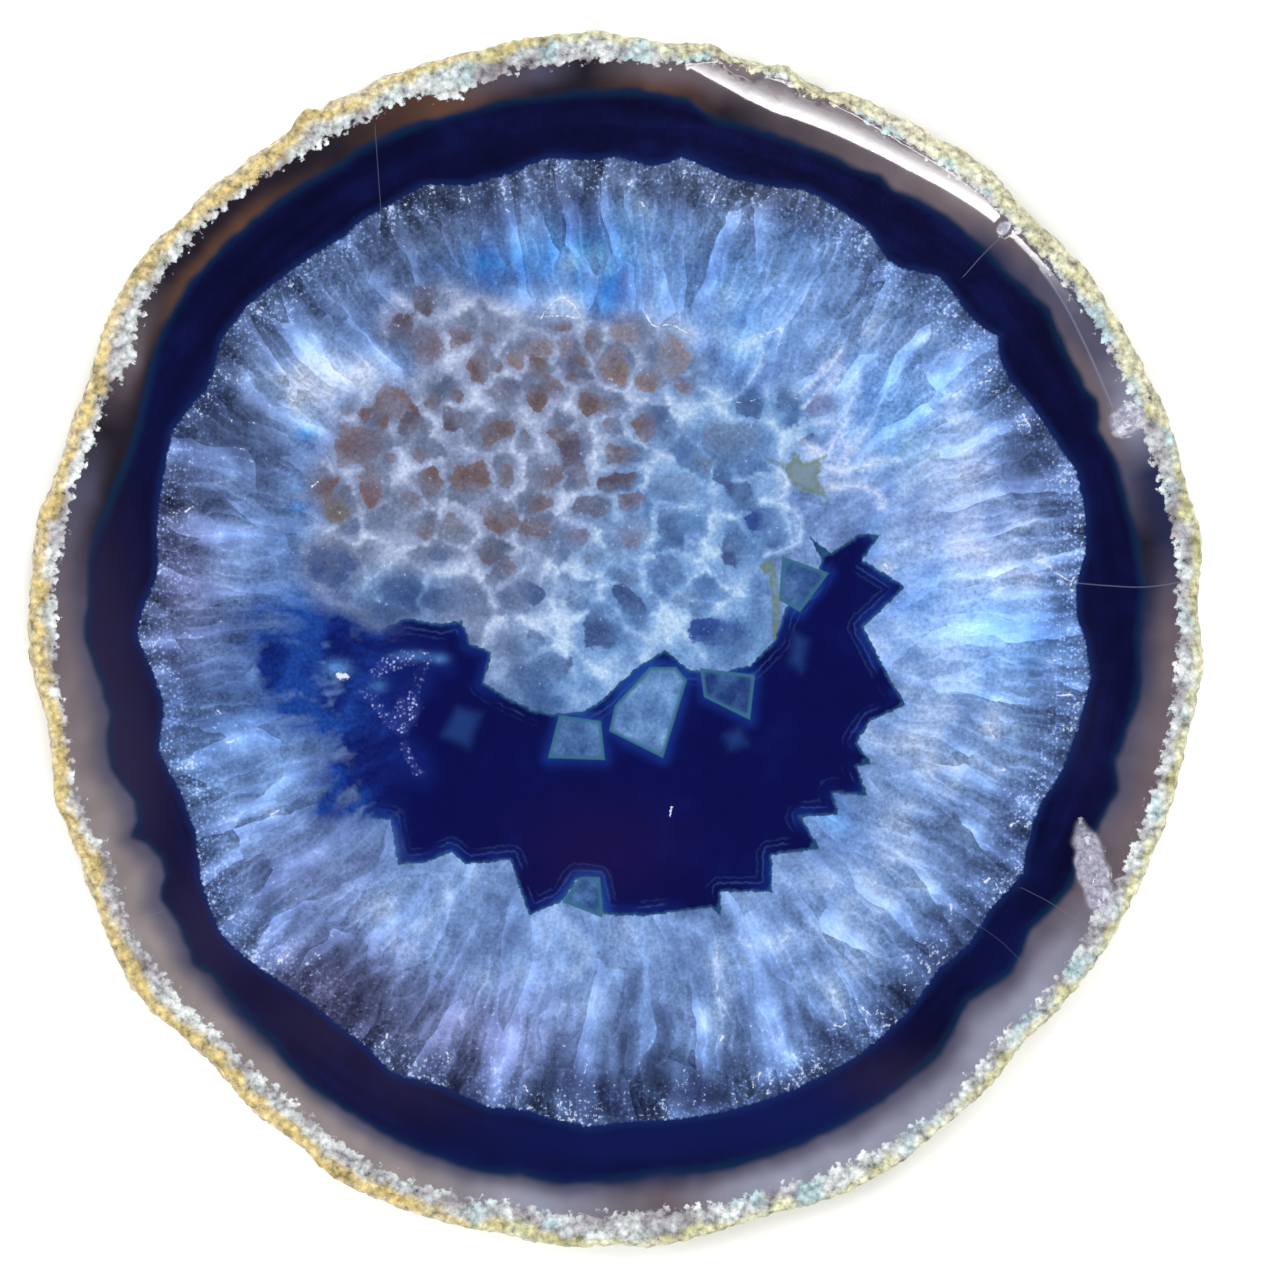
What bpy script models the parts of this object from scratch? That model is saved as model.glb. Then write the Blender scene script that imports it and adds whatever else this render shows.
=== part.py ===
"""A polished slice of a dyed blue agate nodule, lying on its sawn back face.

Metres, +Z up. The origin is at the underside, in the middle of the slice's box. +Y is the side that
stands uppermost when the slice is on show, and the polished front face looks up.
"""

import math

import bmesh
import bpy
from mathutils import Vector, noise

MM = 0.001

# Driving dimensions
THICKNESS = 7.0 * MM
AROUND = 320  # points round the edge
ARRIS = 0.35 * MM  # the small worn bevel along both sawn edges

# The nodule's skin leans outward to the back on this side, and to the front on the other.
LEAN = 0.9 * MM
LEAN_SIDE = 130.0  # degrees

# Heights of the wall's rings, as shares of the thickness
WALL_SHARES = (0.17, 0.33, 0.5, 0.67, 0.83)
LUMP_HEIGHT = 0.8 * MM
LUMP_SIZE = 8.0 * MM
KNOB_HEIGHT = 1.1 * MM  # of the skin's knobs over the crevices between them
KNOB_SIZE = 3.6 * MM
KNOB_TOP, CREVICE_BOTTOM = -0.6, 0.8  # where the knobs' noise is cut off
RELIEF_FADE = 0.2  # share of the height, under the front edge, in which lumps and knobs die out
KNOB_WEAR_STEPS = (-7.0, -3.5, 0.0, 3.5, 7.0)  # degrees over which the outline's knobs wear down

# The slice's outline as (degrees, mm from the middle), from +X towards +Y
OUTLINE = [
    (0, 71.7), (4, 71.5), (10, 73.0), (14, 72.3), (21, 73.0), (28, 72.7), (34, 73.2), (45, 72.5),
    (50, 73.3), (60, 72.9), (67, 72.7), (70.5, 71.7), (73.3, 73.7), (76, 72.3), (79, 73.0),
    (80.7, 74.4), (83, 73.7), (90, 74.4), (92, 75.2), (93.5, 74.5), (99, 74.8), (104, 74.4),
    (113, 74.7), (118.6, 74.3), (120.6, 76.0), (122.8, 74.4), (127, 74.1), (135, 74.5),
    (143, 74.9), (149, 73.9), (155, 72.3), (165, 72.1), (168, 73.0), (171, 72.3), (177, 72.6),
    (182, 71.8), (188, 70.8), (192, 71.0), (195.5, 71.7), (204, 71.2), (210, 72.3), (218, 73.2),
    (222, 72.3), (227, 71.8), (232, 73.0), (239, 73.5), (241, 74.6), (252, 74.9), (260, 74.5),
    (266, 75.1), (270, 74.5), (274, 74.9), (284, 73.4), (291, 73.8), (299, 73.3), (303, 72.4),
    (310, 71.7), (315, 70.6), (319, 71.0), (327, 71.2), (338, 71.1), (350, 71.2), (357, 72.1),
]

# Where polishing has rolled the front edge over, as (degrees, mm in from the outline)
ROLLED = [
    (0, 0.35), (18, 0.35), (25, 5.2), (30, 5.1), (40, 4.8), (46, 4.3), (50, 5.4), (58, 6.5),
    (63, 6.5), (70, 5.4), (76, 5.1), (80, 4.6), (84, 3.3), (89, 0.35), (180, 0.35), (270, 0.35),
]
ROLLED_DROP = 0.75 * MM  # at the outline, where the roll is widest
ROLLED_WIDEST = 6.5 * MM
FIRST_SLOPE_SHARE = 0.4  # the inner, gentler slope's share of the roll's width
FIRST_DROP_SHARE = 0.25  # and of its drop

# The open triangular vug in the front face, its tail and a small round one: corners in mm
VUG = [
    (-31.1, -6.7), (-30.2, -4.6), (-28.1, -3.2), (-25.7, -2.0), (-21.0, -2.7), (-22.6, -4.8),
    (-24.8, -8.1), (-26.4, -11.8), (-28.5, -9.3),
]
VUG_TAIL = [(-25.8, -12.9), (-24.9, -12.7), (-23.4, -16.5), (-24.6, -16.3)]
SMALL_VUG = [(-35.3, -3.6), (-34.0, -2.8), (-32.8, -3.3), (-32.6, -4.7), (-33.8, -5.5), (-35.1, -4.9)]
VUG_DEPTH = 1.3 * MM
VUG_FLOOR_SHARE = 0.45  # the floor's size against the mouth's
MOUTH_CLEARANCE = 0.5 * MM  # how far a cutter stands over the face
MOUTH_SHARE = 1.2  # its size up there against the mouth's

# Shell-shaped chips in the front face: middle x, y, length, width and depth in mm, and turn in degrees
CHIPS = {
    "chip_lower_right": (58.4, -28.6, 12.6, 4.4, 0.8, 104.0),
    "chip_right": (62.6, 26.5, 5.0, 4.0, 0.6, 20.0),
    "chip_upper_right": (47.5, 49.8, 2.4, 1.6, 0.4, 40.0),
}
CHIP_BALL_HEIGHT = 2.4 * MM  # half height of the ellipsoid that cuts a chip


def read_round(points, degrees):
    """The value at an angle of a smooth closed curve through (degrees, value) points."""
    before = [(at - 360.0, value) for at, value in points[-2:]]
    after = [(at + 360.0, value) for at, value in points[:2]]
    knots = before + points + after
    first = max(i for i, (at, _) in enumerate(knots[:-2]) if at <= degrees)

    def slope(i):
        (at0, value0), (at1, value1) = knots[i - 1], knots[i + 1]
        return (value1 - value0) / (at1 - at0)

    (start, low), (end, high) = knots[first], knots[first + 1]
    span = end - start
    t = (degrees - start) / span
    return (
        low * (1 - t) ** 2 * (1 + 2 * t)
        + high * t**2 * (3 - 2 * t)
        + slope(first) * span * t * (1 - t) ** 2
        - slope(first + 1) * span * t**2 * (1 - t)
    )


def outline_radius(degrees, share):
    """The outline at a share of the height: its knobs are sharp in front and worn down at the back."""
    sharp = read_round(OUTLINE, degrees)
    around = [read_round(OUTLINE, (degrees + step) % 360.0) for step in KNOB_WEAR_STEPS]
    soft = sum(around) / len(around)
    return (soft + (sharp - soft) * share) * MM


def edge_point(degrees, share, inset, height):
    """A point on the section at an angle, in from the outline at that share of the height."""
    radius = outline_radius(degrees, share) - inset
    turn = math.radians(degrees)
    return Vector((radius * math.cos(turn), radius * math.sin(turn), height))


def wall_inset(degrees, share):
    """How far in the wall lies: the skin's lean, less its lumps and knobs, which end at the front edge."""
    toward = math.cos(math.radians(degrees - LEAN_SIDE))
    lean = LEAN * abs(toward) * (share if toward > 0 else 1 - share)
    skin = edge_point(degrees, share, lean, share * THICKNESS)
    lumps = noise.noise(skin / LUMP_SIZE)
    crevice = noise.noise(skin / KNOB_SIZE, noise_basis="VORONOI_F1")
    knobs = -min(max(crevice, KNOB_TOP), CREVICE_BOTTOM)
    front_fade = min((1 - share) / RELIEF_FADE, 1.0)
    return lean - front_fade * (LUMP_HEIGHT * lumps + KNOB_HEIGHT / 2 * knobs)


def edge_rings(degrees):
    """The section of the slice's edge at an angle, from the back face up to the front face."""
    back = wall_inset(degrees, 0.0)
    points = [edge_point(degrees, 0.0, back + ARRIS, 0.0), edge_point(degrees, 0.0, back, ARRIS)]
    for share in WALL_SHARES:
        points.append(edge_point(degrees, share, wall_inset(degrees, share), share * THICKNESS))
    front = wall_inset(degrees, 1.0)
    roll = max(read_round(ROLLED, degrees) * MM, ARRIS)
    roll_share = min((roll - ARRIS) / (ROLLED_WIDEST - ARRIS), 1.0)
    drop = ARRIS + (ROLLED_DROP - ARRIS) * roll_share
    slope_end = roll * (1 - FIRST_SLOPE_SHARE)
    slope_height = THICKNESS - drop * FIRST_DROP_SHARE
    points.append(edge_point(degrees, 1.0, front, THICKNESS - drop))
    points.append(edge_point(degrees, 1.0, front + slope_end, slope_height))
    points.append(edge_point(degrees, 1.0, front + roll, THICKNESS))
    return points


def slice_mesh():
    """The whole slice: rings of points up its edge, closed by the two sawn faces."""
    bm = bmesh.new()
    columns = [
        [bm.verts.new(point) for point in edge_rings(360.0 * i / AROUND)] for i in range(AROUND)
    ]
    for i, column in enumerate(columns):
        following = columns[(i + 1) % AROUND]
        for j in range(len(column) - 1):
            bm.faces.new((column[j], following[j], following[j + 1], column[j + 1]))
    bm.faces.new([column[0] for column in reversed(columns)])
    bm.faces.new([column[-1] for column in columns])
    low = Vector([min(v.co[axis] for v in bm.verts) for axis in range(3)])
    high = Vector([max(v.co[axis] for v in bm.verts) for axis in range(3)])
    middle = (low + high) / 2
    bmesh.ops.translate(bm, verts=bm.verts, vec=(-middle.x, -middle.y, -low.z))
    mesh = bpy.data.meshes.new("agate_slice")
    bm.to_mesh(mesh)
    bm.free()
    return mesh


def vug_cutter(name, corners):
    """A pit's cutter: its mouth, wide and over the front face, tapers to a smaller floor."""
    middle = sum((Vector(corner) for corner in corners), Vector((0.0, 0.0))) / len(corners)
    bm = bmesh.new()
    rings = []
    for rise, share in ((-VUG_DEPTH, VUG_FLOOR_SHARE), (MOUTH_CLEARANCE, MOUTH_SHARE)):
        plan = [(middle + (Vector(corner) - middle) * share) * MM for corner in corners]
        rings.append([bm.verts.new((point.x, point.y, THICKNESS + rise)) for point in plan])
    floor, mouth = rings
    for i in range(len(corners)):
        j = (i + 1) % len(corners)
        bm.faces.new((floor[i], floor[j], mouth[j], mouth[i]))
    bm.faces.new(list(reversed(floor)))
    bm.faces.new(mouth)
    bmesh.ops.recalc_face_normals(bm, faces=bm.faces)
    mesh = bpy.data.meshes.new(name)
    bm.to_mesh(mesh)
    bm.free()
    return bpy.data.objects.new(name, mesh)


def chip_cutter(name, x, y, length, width, depth, turn):
    """A chip's cutter: an ellipsoid whose lowest part dips under the front face."""
    lift = CHIP_BALL_HEIGHT - depth * MM
    spread = math.sqrt(1 - (lift / CHIP_BALL_HEIGHT) ** 2)
    bm = bmesh.new()
    bmesh.ops.create_icosphere(bm, subdivisions=3, radius=1.0)
    bmesh.ops.scale(
        bm,
        verts=bm.verts,
        vec=(length * MM / 2 / spread, width * MM / 2 / spread, CHIP_BALL_HEIGHT),
    )
    mesh = bpy.data.meshes.new(name)
    bm.to_mesh(mesh)
    bm.free()
    cutter = bpy.data.objects.new(name, mesh)
    cutter.location = (x * MM, y * MM, THICKNESS + lift)
    cutter.rotation_euler.z = math.radians(turn)
    return cutter


def agate_material():
    material = bpy.data.materials.new("dyed_agate")
    material.use_nodes = True
    shader = material.node_tree.nodes["Principled BSDF"]
    shader.inputs["Base Color"].default_value = (0.10, 0.17, 0.42, 1.0)
    shader.inputs["Roughness"].default_value = 0.15
    shader.inputs["Metallic"].default_value = 0.0
    return material


def new_collection(name):
    collection = bpy.data.collections.new(name)
    bpy.context.scene.collection.children.link(collection)
    return collection


def main():
    for old in list(bpy.data.objects):
        bpy.data.objects.remove(old, do_unlink=True)
    parts = new_collection("blue_agate_slice")
    cutters = new_collection("cutters")

    agate = bpy.data.objects.new("agate_slice", slice_mesh())
    agate.data.materials.append(agate_material())
    parts.objects.link(agate)

    shapes = [
        vug_cutter("vug", VUG),
        vug_cutter("vug_tail", VUG_TAIL),
        vug_cutter("small_vug", SMALL_VUG),
    ]
    shapes += [chip_cutter(name, *form) for name, form in CHIPS.items()]
    for cutter in shapes:
        cutters.objects.link(cutter)
        cutter.hide_render = True
        cutter.display_type = "WIRE"
        cut = agate.modifiers.new(cutter.name, "BOOLEAN")
        cut.operation = "DIFFERENCE"
        cut.solver = "EXACT"
        cut.object = cutter


main()
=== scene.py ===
"""The looks of a polished slice of dyed blue agate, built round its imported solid.

Metres, in the solid's frame: the slice lies on its back face and its polished front face looks up.
Places on the face are written as the photograph's pixels, and worked with in millimetres.
"""

import math

import bpy
import numpy as np
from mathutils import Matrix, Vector, noise
from mathutils.bvhtree import BVHTree
from mathutils.geometry import delaunay_2d_cdt


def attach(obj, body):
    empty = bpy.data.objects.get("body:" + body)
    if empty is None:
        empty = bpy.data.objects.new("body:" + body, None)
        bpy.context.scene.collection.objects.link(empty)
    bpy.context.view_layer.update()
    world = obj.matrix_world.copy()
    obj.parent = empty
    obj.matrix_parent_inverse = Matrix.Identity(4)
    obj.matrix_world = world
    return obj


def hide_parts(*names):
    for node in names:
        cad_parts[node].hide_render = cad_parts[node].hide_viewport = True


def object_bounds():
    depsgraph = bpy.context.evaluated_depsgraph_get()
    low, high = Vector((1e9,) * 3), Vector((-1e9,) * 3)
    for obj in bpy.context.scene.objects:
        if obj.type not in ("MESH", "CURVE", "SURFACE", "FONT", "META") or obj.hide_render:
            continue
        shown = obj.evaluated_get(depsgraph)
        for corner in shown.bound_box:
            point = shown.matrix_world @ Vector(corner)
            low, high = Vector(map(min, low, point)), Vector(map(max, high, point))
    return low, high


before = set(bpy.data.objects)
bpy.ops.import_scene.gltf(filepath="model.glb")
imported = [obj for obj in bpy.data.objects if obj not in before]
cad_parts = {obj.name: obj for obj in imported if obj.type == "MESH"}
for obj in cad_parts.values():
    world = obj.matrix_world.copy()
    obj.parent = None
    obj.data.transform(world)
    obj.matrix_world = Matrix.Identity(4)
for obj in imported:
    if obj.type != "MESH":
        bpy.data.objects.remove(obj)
cad_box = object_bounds()

MM = 0.001
PIXEL = 0.12215  # mm on the face to one pixel of the photograph
MIDDLE = (615.0, 636.0)  # the pixel that the bands' radii are measured from
MIDDLE_X, MIDDLE_Y = 0.054, 0.311  # where that pixel is in the solid's frame, in mm

# The slice's own sizes, in mm
THICKNESS = 7.0
ARRIS = 0.35
ROLL_SLOPE, ROLL_BEND = 0.084, 0.0032  # how steep the rolled edge starts, and how it steepens
# Where polishing has rolled the front edge over: (degrees, pixels from the middle to the crease)
CREASE = [
    (18, 620), (24, 556), (30, 555), (40, 560), (46, 560), (50, 557), (58, 548), (63, 546), (73, 545),
    (76, 550), (80, 562), (84, 577), (88, 620),
]

# The bands' edges, as (degrees from +X towards +Y, pixels from the middle)
RIND_EDGE = [
    (0, 562), (10, 568), (20, 565), (30, 572), (45, 570), (50, 575), (60, 572), (70, 578), (80, 585),
    (85, 572), (90, 575), (100, 575), (107, 560), (110, 575), (120, 572), (135, 580), (145, 575),
    (150, 555), (155, 562), (160, 555), (165, 562), (170, 558), (175, 562), (180, 558), (190, 556),
    (195, 560), (205, 552), (210, 565), (220, 565), (225, 560), (235, 565), (245, 580), (255, 580),
    (260, 575), (265, 580), (275, 575), (300, 575), (305, 572), (315, 555), (320, 560), (330, 555),
    (335, 560), (345, 558), (355, 562),
]
NAVY_EDGE = [
    (0, 522), (5, 530), (15, 528), (20, 530), (23, 525), (26, 535), (28, 530), (34, 533), (37, 541),
    (40, 536), (43, 532), (50, 535), (55, 530), (58, 526), (60, 530), (63, 525), (70, 525), (79, 525),
    (82, 540), (85, 543), (95, 543), (108, 546), (118, 548), (120, 545), (130, 550), (140, 552),
    (146, 545), (150, 535), (153, 527), (156, 520), (160, 517), (166, 522), (169, 528), (172, 532),
    (175, 528), (180, 527), (182, 523), (185, 515), (189, 508), (191, 515), (195, 520), (199, 506),
    (201, 510), (202.5, 520), (204, 510), (206, 504), (208, 508), (210, 525), (214, 523), (218, 532),
    (220, 525), (225, 528), (230, 530), (235, 540), (245, 548), (255, 552), (260, 545), (265, 550),
    (270, 542), (275, 538), (280, 540), (290, 540), (300, 535), (308, 525), (311, 515), (314, 505),
    (317, 512), (320, 518), (325, 508), (328, 512), (331, 518), (335, 515), (340, 520), (343, 525),
    (346, 514), (350, 520), (355, 527),
]
QUARTZ_EDGE = [
    (0, 470), (2, 463), (6, 464), (8, 470), (10, 478), (15, 487), (20, 490), (22, 485), (30, 475),
    (33, 471), (36, 475), (38, 487), (40, 480), (42, 478), (48, 485), (50, 475), (52, 467), (54, 465),
    (58, 478), (65, 485), (67, 485), (71, 476), (76, 472), (82, 484), (84, 475), (86, 472), (90, 480),
    (93, 476), (98, 483), (103, 474), (108, 474), (113, 490), (118, 486), (121, 488), (124, 483),
    (130, 487), (138, 494), (143, 493), (147, 480), (149, 478), (155, 488), (160, 480), (166, 472),
    (171, 463), (173, 463), (177, 474), (180, 478), (184, 465), (188, 457), (190, 459), (194, 471),
    (196, 467), (200, 462), (205, 463), (211, 482), (217, 494), (221, 490), (225, 483), (229, 477),
    (231, 476), (239, 480), (243, 491), (249, 482), (255, 488), (259, 483), (267, 492), (271, 486),
    (280, 488), (290, 488), (300, 485), (308, 477), (314, 465), (319, 470), (324, 464), (330, 472),
    (332, 465), (336, 458), (339, 458), (343, 467), (350, 473), (355, 478), (358, 473),
]

# The dark chalcedony that fills the lower half of the old cavity, clockwise from its upper left
POCKET = [
    (315, 611), (342, 603), (358, 624), (379, 630), (406, 618), (441, 624), (462, 620), (470, 643),
    (492, 652), (484, 683), (510, 699), (534, 710), (553, 714), (582, 712), (600, 702), (622, 680),
    (640, 665), (665, 650), (690, 670), (720, 672), (750, 665), (775, 640), (786, 606), (812, 588),
    (822, 560), (810, 537), (831, 553), (860, 534), (880, 535), (863, 560), (906, 587), (863, 627),
    (890, 678), (906, 705), (871, 721), (857, 742), (871, 764), (857, 766), (868, 796), (833, 793),
    (839, 815), (801, 817), (820, 849), (772, 855), (772, 892), (721, 892), (721, 916), (710, 908),
    (646, 916), (603, 915), (596, 880), (577, 879), (564, 900), (529, 916), (510, 860), (467, 865),
    (451, 852), (425, 863), (398, 865), (390, 820), (363, 817), (360, 774), (347, 710), (322, 668),
]
# The cloudy crystals seen end on, whose tips make a honeycomb
HONEYCOMB = [
    (395, 300), (440, 285), (500, 305), (560, 322), (640, 318), (690, 335), (705, 390), (745, 392),
    (790, 388), (830, 400), (818, 440), (770, 462), (775, 500), (800, 530), (765, 560), (778, 640),
    (750, 668), (690, 674), (665, 652), (600, 706), (545, 716), (510, 701), (484, 680), (470, 640),
    (440, 622), (406, 616), (380, 628), (350, 610), (310, 596), (300, 550), (330, 520), (300, 495),
    (325, 455), (335, 420), (350, 400), (390, 384), (420, 372), (400, 350), (385, 322),
]
# Single crystals that stand into the pocket, as (tone, outline)
CRYSTALS = [
    (0.24, [(559, 715), (548, 758), (605, 760), (601, 721)]),
    (0.44, [(615, 705), (650, 667), (676, 667), (687, 680), (663, 758), (609, 731)]),
    (0.02, [(700, 668), (755, 675), (750, 720), (704, 697)]),
    (0.18, [(580, 877), (600, 877), (603, 918), (562, 902)]),
    (0.10, [(782, 556), (829, 573), (800, 612), (779, 600)]),
]
GHOST_CRYSTALS = [
    [(457, 707), (481, 714), (469, 747), (441, 736)],
    [(794, 632), (808, 640), (802, 672), (789, 662)],
    [(724, 735), (740, 728), (748, 744), (730, 750)],
]
OLIVE = [
    [(762, 456), (788, 464), (794, 450), (803, 462), (827, 455), (818, 477), (829, 499), (806, 492),
     (790, 484), (785, 470)],
    [(758, 566), (772, 557), (777, 576), (781, 600), (778, 640), (772, 640), (772, 600), (768, 577)],
]
VUG = [
    (381, 668), (395, 658), (408, 652), (421, 653), (436, 655), (446, 665), (433, 663), (424, 676), (421, 689),
    (412, 703), (405, 716), (402, 733), (395, 727), (383, 716), (374, 704), (359, 689), (367, 685), (374, 674),
]
VUG_TAIL = [(403, 742), (414, 754), (423, 768), (421, 774), (408, 769), (403, 754)]
# Lighter blue spots about the vug, the first a painted glow round the vug's painted highlight: px, py, half width,
# half height, strength
VUG_LIGHTS = [(337, 669, 11, 7, 1.1), (412, 656, 16, 4, 0.7), (440, 659, 7, 4, 0.6), (378, 686, 7, 5, 0.5)]
# Lines along which the vug's crystals catch the light, as painted sparkle
VUG_SPARKLE = [
    [(363, 692), (374, 703), (386, 718), (401, 731), (407, 716), (414, 698), (422, 680), (428, 664)],
    [(376, 672), (392, 661), (408, 656), (424, 657), (438, 660)],
    [(396, 716), (404, 704)],
    [(404, 746), (410, 760), (420, 773)],
]
# Shell-shaped chips: px, py, length, width, depth in mm, and turn in degrees
CHIPS = [(1093, 870, 12.6, 4.4, 0.8, 104.0), (1128, 419, 5.0, 4.0, 0.6, 20.0),
         (1004, 228, 2.4, 1.6, 0.4, 40.0)]

# Colours as they show in the photograph
BROWN, RED_BROWN, TAN, ORANGE = (108, 94, 100), (112, 92, 98), (134, 128, 142), (126, 112, 116)
DARK, OLIVE_BROWN, GREY, MAUVE = (90, 84, 102), (108, 106, 108), (104, 122, 156), (112, 104, 124)
SLATE, DEEP, BLUE, VIOLET = (66, 88, 138), (52, 78, 146), (88, 116, 168), (106, 106, 158)

# The honeycomb's windows: px, py, half width, half height, turn in degrees, colour, strength
WINDOWS = [
    (461, 336, 12, 10, 0, BROWN, 0.8), (480, 368, 10, 16, 0, BROWN, 0.9), (496, 367, 7, 5, 0, BROWN, 0.6),
    (491, 336, 6, 9, 0, BROWN, 0.4), (516, 358, 10, 9, 0, ORANGE, 0.8), (537, 347, 17, 6, -22, TAN, 0.8),
    (538, 368, 11, 9, 0, BROWN, 0.8), (558, 324, 14, 8, 0, BROWN, 0.6), (593, 340, 10, 11, 0, BROWN, 0.7),
    (566, 348, 8, 10, 0, TAN, 0.5), (579, 362, 8, 5, 0, BROWN, 0.6), (574, 376, 8, 6, 0, BROWN, 0.6),
    (551, 386, 12, 9, 0, BROWN, 0.7), (538, 398, 8, 14, 0, BROWN, 0.9), (615, 366, 13, 20, 0, ORANGE, 0.9),
    (628, 331, 18, 9, 0, TAN, 0.7), (603, 304, 12, 12, 0, DARK, 1.0), (508, 287, 6, 9, 0, ORANGE, 0.8),
    (673, 356, 19, 20, 0, TAN, 0.9), (649, 382, 13, 11, 0, ORANGE, 0.8), (685, 386, 8, 9, 0, ORANGE, 0.6),
    (598, 403, 20, 10, 0, BROWN, 0.8), (609, 423, 6, 6, 0, BROWN, 0.7), (646, 427, 12, 14, 0, BROWN, 0.7),
    (498, 392, 13, 8, 0, BROWN, 0.5), (456, 395, 8, 5, 0, BROWN, 0.6), (459, 419, 15, 10, 0, DARK, 0.8),
    (498, 431, 20, 9, -25, BROWN, 0.9), (526, 435, 4, 6, 0, BROWN, 0.6), (558, 433, 8, 8, 0, BROWN, 0.7),
    (571, 449, 12, 15, 0, DARK, 0.9), (622, 454, 18, 7, 0, BROWN, 0.7), (617, 481, 20, 8, -6, DARK, 0.9),
    (590, 506, 19, 10, -4, DARK, 0.9), (550, 476, 12, 12, 0, BROWN, 0.6), (579, 476, 6, 14, 15, BROWN, 0.6),
    (471, 478, 20, 15, 0, BROWN, 1.0), (506, 476, 8, 12, 0, BROWN, 0.6), (499, 518, 14, 17, -50, BROWN, 0.8),
    (538, 504, 14, 8, 0, BROWN, 0.7), (535, 526, 16, 8, -12, BROWN, 0.7), (633, 502, 15, 6, -35, MAUVE, 0.7),
    (453, 526, 13, 10, 0, OLIVE_BROWN, 0.6), (491, 553, 11, 9, -30, DARK, 0.6), (507, 567, 9, 7, 0, MAUVE, 0.5),
    (676, 486, 24, 12, 0, GREY, 0.5), (722, 476, 9, 10, 0, SLATE, 0.6), (743, 497, 18, 12, 35, SLATE, 0.8),
    (700, 463, 7, 15, -25, GREY, 0.6), (729, 438, 30, 17, 0, GREY, 0.6), (673, 524, 15, 13, 0, SLATE, 0.6),
    (670, 542, 14, 6, 0, SLATE, 0.6), (759, 521, 15, 11, 0, DEEP, 0.8), (732, 548, 12, 18, 0, SLATE, 0.8),
    (668, 569, 14, 14, 0, SLATE, 0.5), (633, 532, 15, 15, 0, MAUVE, 0.5), (577, 537, 12, 9, 0, MAUVE, 0.6),
    (617, 550, 7, 13, 0, GREY, 0.5), (625, 575, 12, 6, 0, GREY, 0.4), (593, 556, 11, 8, 0, GREY, 0.6),
    (530, 592, 16, 9, 30, SLATE, 0.7), (577, 601, 12, 10, 0, SLATE, 0.5), (629, 600, 21, 8, 30, SLATE, 1.0),
    (601, 631, 20, 18, 0, SLATE, 0.9), (719, 631, 28, 13, 0, DEEP, 0.9), (534, 639, 9, 9, 0, SLATE, 0.6),
    (555, 666, 16, 13, 0, SLATE, 0.6), (689, 601, 15, 10, 0, SLATE, 0.4), (640, 622, 10, 8, 30, SLATE, 0.4),
    (748, 406, 15, 9, 0, SLATE, 0.7), (787, 400, 14, 13, 0, SLATE, 0.7), (826, 406, 18, 12, 0, VIOLET, 0.7),
    (814, 441, 15, 6, 0, SLATE, 0.6), (818, 518, 26, 9, 32, SLATE, 0.6), (858, 500, 20, 9, 20, SLATE, 0.5),
    (425, 297, 11, 16, 0, DARK, 0.9), (441, 302, 8, 7, 0, GREY, 0.6), (402, 326, 13, 13, 0, DARK, 0.8),
    (427, 345, 16, 18, 0, MAUVE, 0.8), (371, 335, 12, 14, 0, GREY, 0.6), (356, 309, 5, 8, 0, DARK, 1.0),
    (392, 402, 15, 16, 0, RED_BROWN, 0.85), (384, 420, 5, 9, 25, RED_BROWN, 0.9), (408, 409, 8, 5, 0, RED_BROWN, 0.8),
    (368, 414, 12, 6, -25, RED_BROWN, 0.8), (347, 408, 7, 7, 0, MAUVE, 0.8), (410, 423, 13, 12, 0, DARK, 1.0),
    (362, 446, 25, 17, 0, RED_BROWN, 0.55), (370, 486, 11, 19, 0, RED_BROWN, 1.0), (429, 483, 10, 15, 0, BROWN, 0.9),
    (391, 458, 6, 5, 0, BROWN, 0.6), (419, 454, 8, 8, 0, BROWN, 0.5), (433, 402, 7, 7, 0, BROWN, 0.6),
    (452, 419, 10, 12, 0, DARK, 0.9), (337, 508, 13, 14, 0, OLIVE_BROWN, 0.9), (326, 487, 17, 6, -40, BROWN, 0.8),
    (283, 510, 10, 9, 0, TAN, 0.7), (350, 527, 11, 9, 0, SLATE, 0.7), (383, 521, 15, 11, 0, GREY, 0.6),
    (410, 500, 11, 8, 0, BROWN, 0.4), (425, 529, 10, 8, 0, BROWN, 0.5), (440, 554, 12, 8, 0, SLATE, 0.5),
    (371, 555, 8, 8, 0, GREY, 0.4), (331, 563, 25, 19, 0, SLATE, 0.8), (400, 590, 18, 14, 0, SLATE, 0.6),
    (440, 600, 20, 12, 0, SLATE, 0.7), (385, 612, 16, 8, 0, SLATE, 0.6),
]

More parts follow.
